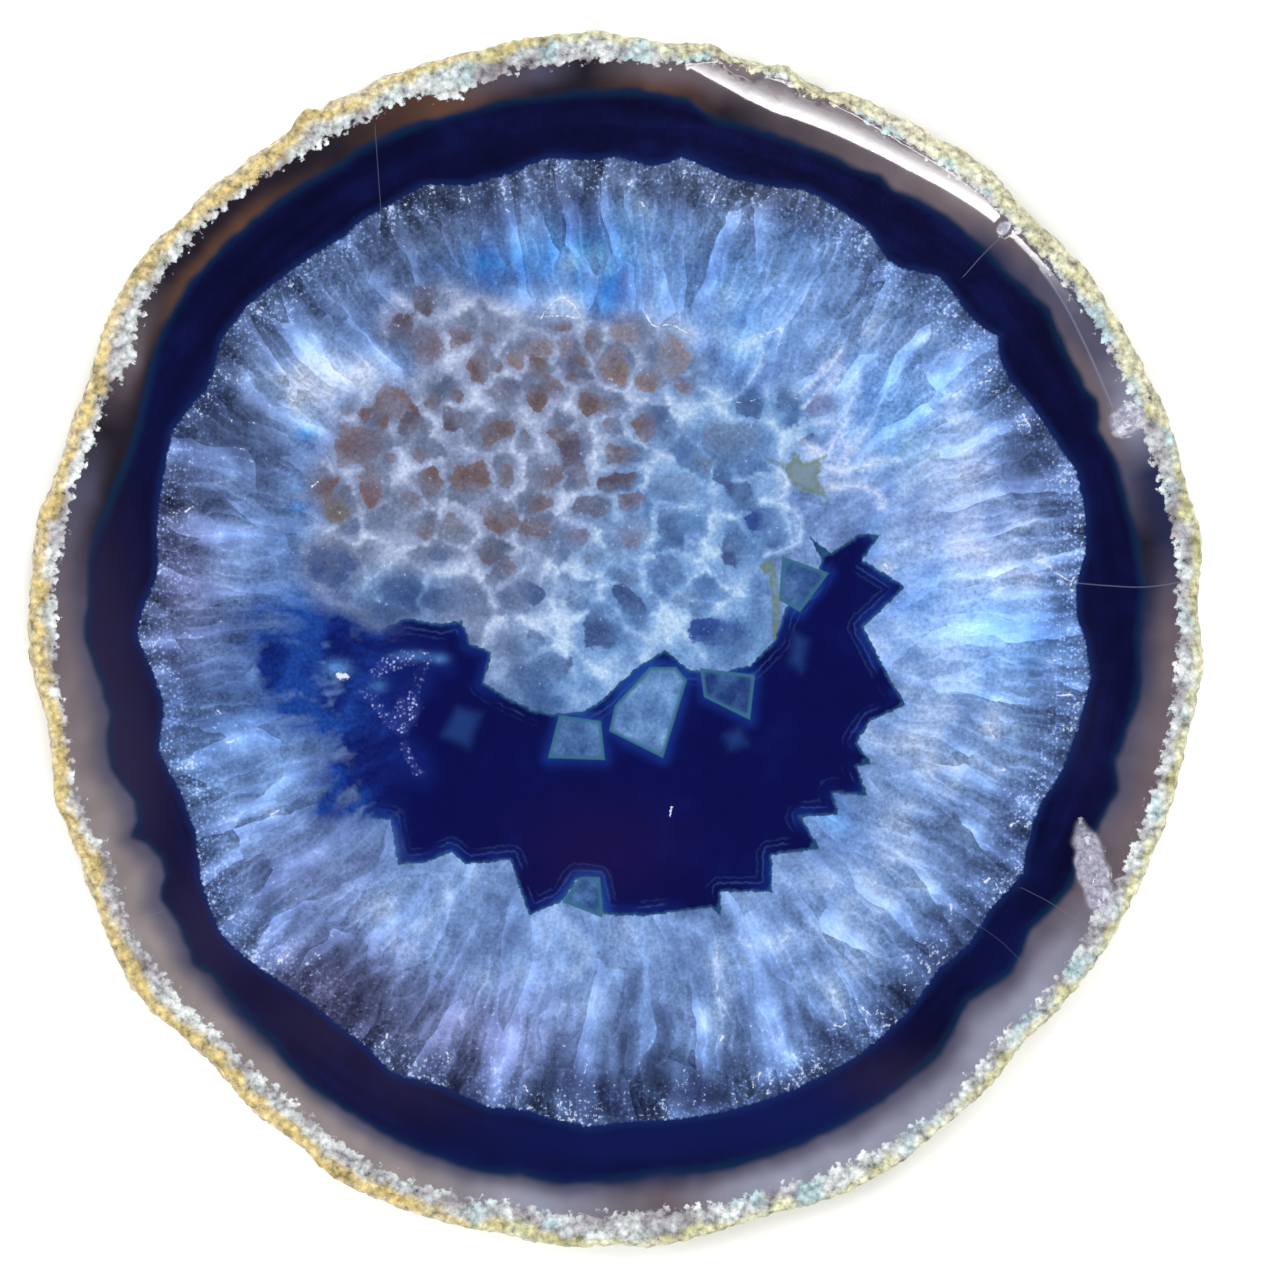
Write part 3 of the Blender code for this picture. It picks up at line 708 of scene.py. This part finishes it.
def line_fields(lines, bend):
    """Strength of fine lines, bent to and fro by so many mm, and of the glow round them."""
    thin, glow = np.zeros((2, len(x)))
    bent_x = x + bend * grain(x, y, 0 * x, 0.8, 23.0)
    bent_y = y + bend * grain(x, y, 0 * x, 0.8, 27.0)
    for half_width, strength, pixels in lines:
        distance = distance_to_line(bent_x, bent_y, mm_from_pixels(smoothed(pixels)), False)
        thin = np.maximum(thin, strength * np.clip(1 - distance / half_width, 0.0, 1.0))
        glow = np.maximum(glow, strength * np.exp(-((distance / GLOW) ** 2)))
    return thin, glow


def window_fields():
    """How far in a window each point is (1 in its middle), how strong that is, and its colour.

    Between them the ridges, and how much the face that each window is in the middle of turns to the light, for
    painted light and shade; the window shows more strongly on that face's lit side.
    """
    shift_x = 0.45 * grain(x, y, 0 * x, 1.6, 11.0)
    shift_y = 0.45 * grain(x, y, 0 * x, 1.6, 17.0)
    nearest, second, size = np.full((3, len(x)), 1e9)
    colour = np.zeros((len(x), 3))
    strength, facing = np.zeros((2, len(x)))
    for px, py, half_width, half_height, turn, shade, amount in WINDOWS:
        cx, cy = mm_from_pixels((px, py))
        c, s = math.cos(math.radians(-turn)), math.sin(math.radians(-turn))
        dx, dy = x + shift_x - cx, y + shift_y - cy
        u, v = dx * c + dy * s, dy * c - dx * s
        reach = np.full(len(x), -1e9)
        for side in range(WINDOW_SIDES):
            way = 2 * math.pi * (side + window_rng.uniform(0.0, 0.7)) / WINDOW_SIDES
            across, up = math.cos(way), math.sin(way)
            off = math.hypot(half_width * across, half_height * up) * PIXEL * window_rng.uniform(0.9, 1.2)
            reach = np.maximum(reach, u * across + v * up - off)
        lean = window_rng.uniform(0.0, 2 * math.pi)
        slant = (u * math.cos(lean) + v * math.sin(lean)) / (math.hypot(half_width, half_height) * PIXEL)
        closer = reach < nearest
        second = np.where(closer, nearest, np.minimum(second, reach))
        nearest = np.where(closer, reach, nearest)
        size = np.where(closer, min(half_width, half_height) * PIXEL, size)
        colour[closer] = linear(shade)
        # Painted shading: each window shows more strongly on the side of its face that turns to the light
        strength[closer] = amount * np.clip(0.95 + 0.75 * slant[closer], 0.25, 1.25)
        facing[closer] = np.clip(slant[closer], -1.2, 1.2)
    gap = second - nearest
    ridge = 0.8 * fade(gap, 0.9, 0.0) * fade(nearest, -0.4, 0.6) + 0.7 * fade(nearest, -0.2, 1.8)
    return -nearest / size, strength, ridge, facing, colour


# Quartz: crystals that grow inward from the navy band. A map that draws each short along its ray gives their grain.
ray_turn = np.radians(degrees + 2.2 * grain(x, y, 0 * x, 16.0, 21.0))
across, up = np.cos(ray_turn), np.sin(ray_turn)
reach = RAY_REACH * (radius / RAY_REACH) ** RAY_SQUEEZE
ray_x = reach * across + 0.9 * grain(x, y, 0 * x, 5.0, 33.0) + 0.35 * grain(x, y, 0 * x, 1.7, 35.0)
ray_y = reach * up + 0.9 * grain(x, y, 0 * x, 5.0, 37.0) + 0.35 * grain(x, y, 0 * x, 1.7, 39.0)
haze = layered(x, y, z, 5.0, 31.0)
streak = layered(ray_x, ray_y, 0 * x, 2.6, 41.0)
stain = layered(x, y, z, 7.0, 51.0)
fringe = fade(quartz_depth, 7.0, 0.0)
coarse = 0.35 + 0.65 * fade(quartz_depth, 24.0, 6.0)
# Seams and painted glints as bright lines, with a glow round each; round a glint that glow is painted light
bright_line, glow = line_fields(BRIGHT_LINES, 0.2)
crack_and_ridge_highlight, _ = line_fields(CRACKS_AND_RIDGE_HIGHLIGHT, 0.0)
edge_line, edge_glow = line_fields([(EDGE_WIDTH, *edge) for edge in EDGES], 0.25)
milk = patches(x, y, MILK)

light = 0.51 + (0.08 + 0.10 * fringe) * streak + 0.20 * haze + milk - 0.14 * fringe + 0.16 * glow
light += 0.34 * edge_line + 0.04 * edge_glow
quartz = tone(light, QUARTZ_TONES)
for colour_here, spots in TINTS:
    share = patches(x, y, spots)
    brightness = quartz @ np.array([0.3, 0.6, 0.1])
    tinted_quartz = linear(colour_here) * (brightness / (linear(colour_here) @ np.array([0.3, 0.6, 0.1])))[:, None]
    quartz = blend(quartz, tinted_quartz, share)
azure = patches(x, y, AZURE) * (0.75 + 0.6 * streak)
quartz = blend(quartz, tone(light, AZURE_TONES), azure * 0.85)

# Honeycomb: cloudy tips of crystals with darker windows in them, bluer towards the lower right
window, window_strength, ridge, facing, window_colour = window_fields()
blueness = fade(x - 0.6 * y, -22.5, -0.5) + patches(x, y, SLATE_CORNER)
veil = fade(layered(x, y, z, 3.6, 101.0), -0.45, 0.45)
fog_light = 0.395 + 0.16 * haze + 0.12 * stain + (0.08 + 0.18 * veil) * ridge + 0.10 * veil + 0.5 * milk
# Painted light and shade: each crystal tip lighter on the side that turns to the light
fog_light += 0.15 * facing + 0.28 * edge_line + 0.05 * edge_glow
fog = blend(tone(fog_light, GREY_FOG), tone(fog_light, BLUE_FOG), blueness)
in_honeycomb = fade(honeycomb_depth, -2.2, 1.6)
body = blend(quartz, fog, in_honeycomb)
window_strength *= (1.15 - 0.45 * veil) * in_honeycomb

# Pocket: dark blue chalcedony, which loses its edge towards the left
left = fade(x, -32.0, -23.0)
deep_light = 0.28 + 0.10 * haze + 0.45 * fade(crystal_depth, -1.8, 0.0)
deep_light += 0.42 * fade(pocket_depth, 2.2, 0.2) * fade(stain, -0.5, 0.4)
deep_light += (0.30 + 0.25 * streak) * (1 - left) + 0.22 * fade(vug_depth, -3.0, 0.0)
deep = tone(deep_light, POCKET_TONES)
deep = blend(deep, linear((34, 18, 70)), patches(x, y, NAVY_PLUM) * 0.6)
deep = blend(deep, linear((34, 64, 130)), fade(ghost_depth, -0.7, 0.9) * 0.75)
# Lighter blue about the vug, the first spot a painted glow round its painted highlight
deep = blend(deep, linear((84, 136, 206)), patches(x, y, VUG_LIGHTS))
pocket_soft = fade(pocket_depth + 1.2 * haze + 2.0 * streak, -3.0, 2.5) * (1 - left)
sparkle_distance = np.min([distance_to_line(x, y, mm_from_pixels(line), False) for line in VUG_SPARKLE], 0)
pocket_soft = np.clip(pocket_soft + patches(x, y, POCKET_HAZE) * (0.8 + 0.9 * streak + 0.4 * haze), 0.0, 1.0)
sparkling = fade(sparkle_distance + 0.9 * haze, 1.0, 0.0)
# Painted sheen: a lighter blue along the vug's sparkle lines
deep = blend(deep, linear((58, 76, 160)), sparkling * 0.35)
crystal_light = np.array([light for light, _ in CRYSTALS])[crystal_depths.argmax(0)]
crystal = tone(crystal_light + 0.25 * (veil - 0.5) + 0.2 * haze, BLUE_FOG)

# The bands round the quartz
band = layered(6.0 * across, 6.0 * up, radius, 1.6, 61.0, 2)
navy = tone(0.5 + 0.25 * band + 0.2 * haze, NAVY_TONES)
navy = blend(navy, linear((46, 40, 70)), patches(x, y, NAVY_PLUM) * 0.75)
navy = blend(navy, linear((16, 26, 86)), patches(x, y, NAVY_BLUE))
navy = blend(navy, linear((22, 44, 104)), fade(quartz_depth, -1.0, -0.1) * 0.6)
navy = blend(navy, linear((16, 52, 84)), fade(navy_depth, -0.9, 0.1) * 0.5)
beside_navy, beside_rind = (
    np.stack([round_curve([(row[0], linear(row[side])[k]) for row in SMOKE], degrees) for k in range(3)], 1)
    for side in (1, 2)
)
smoke = blend(beside_navy, beside_rind, fade(navy_depth / (navy_depth - rind_depth) + 0.12 * stain, 0.1, 0.8))
smoke *= (1.0 + 0.18 * haze)[:, None]
mottle = layered(x, y, z, 3.2, 71.0)
rind = tone(0.52 + 0.55 * mottle + 0.3 * haze, RIND_TONES)
rind = blend(rind, linear((150, 200, 208)), fade(stain + 0.5 * mottle, 0.05, 0.6) * 0.6 * fade(x, -42.0, -5.0))
ochre = tone(0.5 + 0.6 * haze, OCHRE_TONES)
ochre = blend(ochre, linear(GOLD), fade(x + 12.0 * haze, -8.0, -32.0) * 0.8)
golden = fade(x, 5.0, -30.0)
rind = blend(rind, ochre, fade(skin_depth + 0.9 * mottle + 0.7 * stain, 1.5 + 0.8 * golden, 0.2 + 0.7 * golden))
rind = blend(rind, ochre, is_wall)
rind = blend(rind, linear(CREAM), fade(skin_depth + 0.4 * mottle, 0.5, 0.0) * 0.5)

COLOURS = {"body": body, "window": window_colour, "deep": deep, "crystal": crystal, "navy": navy, "smoke": smoke, "rind": rind}
# Painted sparkle: more bright specks in the quartz's outer edge, where crystal faces catch the light
sparkle = 0.12 * fringe * fade(stain, -0.3, 0.3)
FIELDS = {
    "edges": (rind_depth, navy_depth, quartz_depth),
    "forms": (pocket_depth, crystal_depth, olive_depth),
    "shares": (pocket_soft, left, sparkle),
    "marks": (bright_line, crack_and_ridge_highlight, chip_depth),
    "ray": (ray_x, ray_y, 0 * x),
    "edge": (is_wall, vug_depth, haze),
    "grain": (in_honeycomb, coarse, fringe),
    "cells": (window, window_strength, sparkling),
}
FIELDS.update({name: tuple(colour.T / LIGHT) for name, colour in COLOURS.items()})


def make_slice():
    mesh = bpy.data.meshes.new("agate_slice_visual")
    places = np.stack([(x + MIDDLE_X) * MM, (y + MIDDLE_Y) * MM, z * MM], 1)
    low, high = (np.array(corner) for corner in cad_box)
    places = np.clip(places, low, high)
    mesh.from_pydata(places.tolist(), [], [list(face) for face in faces])
    mesh.shade_smooth()
    for name, parts in FIELDS.items():
        layer = mesh.attributes.new(name, "FLOAT_VECTOR", "POINT")
        layer.data.foreach_set("vector", np.stack(parts, 1).astype(np.float32).ravel())
    unwrap(mesh)
    piece = bpy.data.objects.new("agate_slice_visual", mesh)
    bpy.context.scene.collection.objects.link(piece)
    return piece


def unwrap(mesh):
    """Two discs: the front face with the skin spread round it, and the back face."""
    lowest = THICKNESS - z
    spread = radius + is_wall * (lowest + 1.0)
    scale_front = UV_FRONT / 2 / (np.max(spread) + 0.5)
    scale_back = UV_BACK / 2 / (np.max(radius) + 0.5)
    turn = np.radians(degrees)
    round_unit = np.stack([np.cos(turn), np.sin(turn)], 1)
    front = 0.005 + UV_FRONT / 2 + round_unit * (spread * scale_front)[:, None]
    back = 0.995 - UV_BACK / 2 + round_unit * (radius * scale_back)[:, None]
    corner_vertex = np.zeros(len(mesh.loops), int)
    mesh.loops.foreach_get("vertex_index", corner_vertex)
    sizes = np.array([len(face) for face in faces])
    corner_kind = np.repeat(kinds, sizes)
    uv = np.where((corner_kind == 2)[:, None], back[corner_vertex], front[corner_vertex])
    layer = mesh.uv_layers.new(name="OFBake")
    layer.data.foreach_set("uv", uv.astype(np.float32).ravel())


# Material

TREE = None
# How many columns, crystals in them, knobs of the rind and grains of the quartz's outer edge fit in a mm
COLUMN, FACET, KNOB, GRIT = 0.2, 0.7, 0.9, 2.2


def shade(colour):
    """A photographed colour as the surface's own, in linear light."""
    return tuple(float(v) / LIGHT for v in linear(colour)) + (1.0,)


class Value:
    """A node's output that can be reckoned with."""

    def __init__(self, socket):
        self.socket = socket

    def __add__(self, other):
        return maths("ADD", self, other)

    def __radd__(self, other):
        return maths("ADD", other, self)

    def __sub__(self, other):
        return maths("SUBTRACT", self, other)

    def __rsub__(self, other):
        return maths("SUBTRACT", other, self)

    def __mul__(self, other):
        return maths("MULTIPLY", self, other)

    def __rmul__(self, other):
        return maths("MULTIPLY", other, self)

    def __truediv__(self, other):
        return maths("DIVIDE", self, other)

    def __neg__(self):
        return maths("MULTIPLY", self, -1.0)


def plug(socket, value):
    if isinstance(value, Value):
        TREE.links.new(value.socket, socket)
    else:
        socket.default_value = value


def node(kind, **settings):
    made = TREE.nodes.new(kind)
    for name, value in settings.items():
        setattr(made, name, value)
    return made


def maths(operation, *values):
    made = node("ShaderNodeMath", operation=operation)
    for socket, value in zip(made.inputs, values):
        plug(socket, value)
    return Value(made.outputs[0])


def clamp(value, low=0.0, high=1.0):
    made = node("ShaderNodeClamp")
    for socket, v in zip(made.inputs, (value, low, high)):
        plug(socket, v)
    return Value(made.outputs[0])


def step(value, start, end):
    """0 at start and beyond, 1 at end and beyond, smooth between."""
    made = node("ShaderNodeMapRange", interpolation_type="SMOOTHSTEP")
    low, high = (start, end) if start < end else (end, start)
    ends = (0.0, 1.0) if start < end else (1.0, 0.0)
    for socket, v in zip(made.inputs, (value, low, high, *ends)):
        plug(socket, v)
    return Value(made.outputs[0])


def mix(first, second, share):
    """Colours mixed: the first at a share of 0, the second at 1."""
    made = node("ShaderNodeMix", data_type="RGBA")
    for socket, v in zip((made.inputs[0], made.inputs[6], made.inputs[7]), (share, first, second)):
        plug(socket, v)
    return Value(made.outputs[2])


def tinted(colour, factor):
    """A colour made lighter or darker by a factor."""
    made = node("ShaderNodeVectorMath", operation="SCALE")
    plug(made.inputs[0], colour)
    plug(made.inputs["Scale"], factor)
    return Value(made.outputs[0])


def field(name):
    """The three numbers of one of the mesh's fields."""
    return parts(node("ShaderNodeAttribute", attribute_name=name).outputs["Vector"])


def whole_field(name):
    return Value(node("ShaderNodeAttribute", attribute_name=name).outputs["Vector"])


def scaled(vector, factors, offset=(0.0, 0.0, 0.0)):
    made = node("ShaderNodeVectorMath", operation="MULTIPLY_ADD")
    plug(made.inputs[0], vector)
    made.inputs[1].default_value = factors
    made.inputs[2].default_value = offset
    return Value(made.outputs[0])


def cloud(vector, scale, detail=2.0, rough=0.5):
    """Smooth noise, about 0.5."""
    made = node("ShaderNodeTexNoise")
    plug(made.inputs["Vector"], vector)
    for name, v in (("Scale", scale), ("Detail", detail), ("Roughness", rough)):
        made.inputs[name].default_value = v
    return Value(made.outputs["Factor" if "Factor" in made.outputs else "Fac"])


def parts(socket):
    """The three numbers of a vector or colour."""
    made = node("ShaderNodeSeparateXYZ")
    TREE.links.new(socket, made.inputs[0])
    return [Value(part) for part in made.outputs]


def cells(vector, scale):
    """Cells of a plane: a random number for each, how far its middle is, and how far round to one side."""
    made = node("ShaderNodeTexVoronoi", voronoi_dimensions="2D")
    plug(made.inputs["Vector"], vector)
    made.inputs["Scale"].default_value = scale
    turned = node("ShaderNodeVectorMath", operation="CROSS_PRODUCT")
    plug(turned.inputs[0], vector)
    TREE.links.new(made.outputs["Position"], turned.inputs[1])
    lean = parts(turned.outputs[0])[2] * (scale / RAY_REACH)
    return parts(made.outputs["Color"])[0], Value(made.outputs["Distance"]), lean


def knobs(vector, scale):
    """How far the middle of each cell of a solid is."""
    made = node("ShaderNodeTexVoronoi")
    plug(made.inputs["Vector"], vector)
    made.inputs["Scale"].default_value = scale
    return Value(made.outputs["Distance"])


def lit_side(lean, pick):
    """Painted light: 1 at the lit side of each cell, left or right as its random number has it, and fading inward."""
    return step(lean * (2.0 * step(pick, 0.45, 0.55) - 1.0), 0.05, 0.5)


def agate_material():
    global TREE
    material = bpy.data.materials.new("dyed_agate")
    material.use_nodes = True
    TREE = material.node_tree
    shader = TREE.nodes["Principled BSDF"]

    place = scaled(Value(node("ShaderNodeTexCoord").outputs["Object"]), (1000.0,) * 3)
    ray = whole_field("ray")
    rind, navy_out, quartz_in = field("edges")
    pocket, crystal, olive = field("forms")
    pocket_soft, left, sparkle = field("shares")
    bright_line, crack_and_ridge_highlight, chip = field("marks")
    wall, vug, haze = field("edge")
    in_honeycomb, coarse, fringe = field("grain")
    window, window_strength, sparkling = field("cells")

    # The fine textures that all the zones share
    salt = cloud(place, 2.1, 2.0, 0.7)
    moss = cloud(place, 1.4, 2.0, 0.65)
    column_pick, _, column_lean = cells(ray, COLUMN)
    facet_pick, _, facet_lean = cells(ray, FACET)
    knob = knobs(place, KNOB)
    grit_pick, grit, _ = cells(place, GRIT)
    # Grit cells that light up as painted sparkle, in the quartz's outer edge and in the vug
    spark = step(grit_pick, 0.2, 0.9) * step(grit, 0.55, 0.15) * step(salt, 0.36, 0.6)

    # Quartz and honeycomb, with fine grain, painted light on one side of each crystal, painted sparkle specks and
    # white seams
    # Painted light and shade: each crystal column and facet lighter at one side, as if that side faced the light
    column_lit_side = lit_side(column_lean, column_pick)
    facet_lit_side = lit_side(facet_lean, facet_pick)
    faces = 0.7 * (column_lit_side - 0.3) + 0.34 * (facet_lit_side - 0.3) + 0.24 * (facet_pick - 0.5)
    faces = (faces * coarse + 0.25 * (column_pick - 0.5)) * (1.0 - in_honeycomb)
    grain = 1.0 + 1.1 * (salt - 0.5) + fringe * (1.6 * spark - 0.1)
    body = tinted(whole_field("body"), grain + faces)
    window_tone = tinted(whole_field("window"), grain + 0.3 * (0.5 - window))
    body = mix(body, window_tone, clamp(window_strength * step(window + 0.8 * (moss - 0.5), -0.06, 0.2)))
    olive_tone = mix(shade((104, 122, 74)), shade((118, 140, 150)), step(olive, 0.0, 1.0))
    body = mix(body, olive_tone, step(olive + 0.8 * (moss - 0.5), -0.2, 0.4) * 0.85)
    # Painted sparkle: bright specks where crystal faces catch the light, more along the crystals' lit sides
    specks = step(salt + sparkle + 0.03 * in_honeycomb + 0.07 * (column_lit_side + facet_lit_side) * coarse, 0.72, 0.82)
    body = mix(body, shade((214, 228, 252)), specks * 0.7)

    # Pocket: its rim and the fine lines that follow it, and the crystals that stand into it
    depth = pocket + 0.7 * (moss - 0.5)
    lines = step(maths("ABSOLUTE", depth - 1.1), 0.2, 0.0) + 0.5 * step(maths("ABSOLUTE", depth - 1.8), 0.2, 0.0)
    deep = mix(whole_field("deep"), shade((64, 96, 150)), lines * left * 0.34 * step(haze, -0.3, 0.2))
    deep = tinted(deep, 1.0 + 1.6 * (1.0 - left) * (salt - 0.5))
    deep = mix(deep, shade((44, 84, 124)), left * step(depth, 0.5, 0.0))
    body = mix(body, deep, pocket_soft + left * step(depth, -0.08, 0.08))
    crystal_tone = tinted(whole_field("crystal"), 1.0 + 1.2 * (salt - 0.5))
    crystal_tone = mix(shade((58, 108, 138)), crystal_tone, step(crystal, 0.1, 0.7))
    body = mix(body, crystal_tone, step(crystal, -0.1, 0.1))
    # White seams, and the glints as painted highlights, laid on in white
    body = mix(body, shade((236, 242, 255)), 0.9 * step(bright_line + 1.5 * (salt - 0.5), 0.45, 0.8))

    # The bands round the quartz
    body = mix(whole_field("navy"), body, step(quartz_in + 0.6 * (salt - 0.5), -0.05, 0.3))
    body = mix(body, whole_field("smoke"), step(navy_out + 0.35 * haze, -0.1, 0.9))
    in_rind = rind + 1.3 * (0.45 - knob) + 3.0 * (moss - 0.5)
    # Painted shade: the rind darker in its creases and in the gaps between its knobs, with its own fine mottling
    rind_tone = tinted(whole_field("rind"), 1.0 + 1.5 * (moss - 0.5) + 1.3 * (salt - 0.5) + 1.0 * (0.4 - knob))
    body = mix(body, rind_tone, step(in_rind, -0.25, 0.25))

    # Vugs with their painted sparkle, chips, cracks, and the painted highlight along the rolled edge's ridge
    # Painted sparkle: glints of the vug's crystals catching the light
    body = mix(body, shade((168, 184, 240)), clamp(1.9 * spark * sparkling * step(moss, 0.36, 0.56)))
    chip_tone = mix(shade((150, 150, 178)), shade((210, 208, 224)), step(moss + 0.5 * (salt - 0.5), 0.3, 0.68))
    body = mix(body, chip_tone, step(chip, 0.0, 0.25) * 0.8)
    # Cracks, and the painted highlight along the rolled edge's ridge, in one grey-blue
    body = mix(body, shade((140, 144, 176)), crack_and_ridge_highlight)

    TREE.links.new(body.socket, shader.inputs["Base Color"])
    rough = 0.05 + 0.10 * salt + 0.30 * step(in_rind, -0.1, 0.2) + 0.35 * wall
    TREE.links.new(rough.socket, shader.inputs["Roughness"])
    shader.inputs["IOR"].default_value = 1.54

    relief = node("ShaderNodeBump")
    relief.inputs["Strength"].default_value = 0.5
    relief.inputs["Distance"].default_value = 0.0002
    plug(relief.inputs["Height"], step(rind, -0.3, 0.6) * moss)
    TREE.links.new(relief.outputs[0], shader.inputs["Normal"])
    return material


piece = make_slice()
piece.data.materials.append(agate_material())
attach(piece, "root")
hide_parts("agate_slice")


# Floor, light and camera

FLOOR_REACH, FLOOR_SIDES = 0.62, 96  # metres


def floor():
    """A round floor, only as wide as the lamps light it evenly, so that its edge is lost against the room."""
    mesh = bpy.data.meshes.new("floor")
    turns = [2 * math.pi * i / FLOOR_SIDES for i in range(FLOOR_SIDES)]
    rim = [(FLOOR_REACH * math.cos(turn), FLOOR_REACH * math.sin(turn), 0) for turn in turns]
    mesh.from_pydata(rim, [], [range(FLOOR_SIDES)])
    material = bpy.data.materials.new("pale_floor")
    material.use_nodes = True
    material.node_tree.nodes["Principled BSDF"].inputs["Base Color"].default_value = (0.92, 0.92, 0.92, 1)
    material.node_tree.nodes["Principled BSDF"].inputs["Roughness"].default_value = 0.9
    mesh.materials.append(material)
    made = bpy.data.objects.new("floor", mesh)
    bpy.context.scene.collection.objects.link(made)


def lamp(name, azimuth, zenith, distance, width, height, power):
    """A soft lamp that looks at the slice, from so many degrees off straight above."""
    a, b = math.radians(azimuth), math.radians(zenith)
    direction = Vector((math.sin(b) * math.cos(a), math.sin(b) * math.sin(a), math.cos(b)))
    light = bpy.data.lights.new(name, "AREA")
    light.shape = "RECTANGLE"
    light.size = width
    light.size_y = height
    light.energy = power
    made = bpy.data.objects.new(name, light)
    made.location = direction * distance
    made.rotation_euler = direction.to_track_quat("Z", "Y").to_euler()
    bpy.context.scene.collection.objects.link(made)


def sky():
    """A room that is bright near the floor and dark straight above."""
    world = bpy.data.worlds.new("room")
    bpy.context.scene.world = world
    world.use_nodes = True
    tree = world.node_tree
    background = tree.nodes["Background"]
    coords = tree.nodes.new("ShaderNodeTexCoord")
    split = tree.nodes.new("ShaderNodeSeparateXYZ")
    tree.links.new(coords.outputs["Generated"], split.inputs[0])
    fall = tree.nodes.new("ShaderNodeValToRGB")
    for element, (at, grey) in zip(fall.color_ramp.elements, ((0.0, 1.0), (1.0, 0.02))):
        element.position = at
        element.color = (grey, grey, grey, 1)
    for at, grey in ((0.16, 1.0), (0.34, 0.42), (0.85, 0.30), (0.93, 0.03)):
        element = fall.color_ramp.elements.new(at)
        element.color = (grey, grey, grey, 1)
    tree.links.new(split.outputs[2], fall.inputs[0])
    tree.links.new(fall.outputs[0], background.inputs[0])
    background.inputs[1].default_value = 1.2


def camera():
    data = bpy.data.cameras.new("camera")
    data.lens = 100.0
    data.sensor_width = 36.0
    data.clip_start = 0.01
    made = bpy.data.objects.new("camera", data)
    distance = 1280 * PIXEL * MM / 36.0 * 100.0
    cx, cy = mm_from_pixels((640, 640))
    made.location = ((cx + MIDDLE_X) * MM, (cy + MIDDLE_Y) * MM, THICKNESS * MM + distance)
    bpy.context.scene.collection.objects.link(made)
    bpy.context.scene.camera = made


floor()
sky()
lamp("streak", 64, 21.5, 1.2, 0.40, 0.028, 1.68)
lamp("key", 60, 47, 1.2, 0.6, 0.6, 6.5)
lamp("left", 170, 38, 1.2, 0.6, 0.6, 7.0)
lamp("right", 290, 38, 1.2, 0.6, 0.6, 7.0)
camera()
bpy.context.scene.view_settings.view_transform = "Standard"
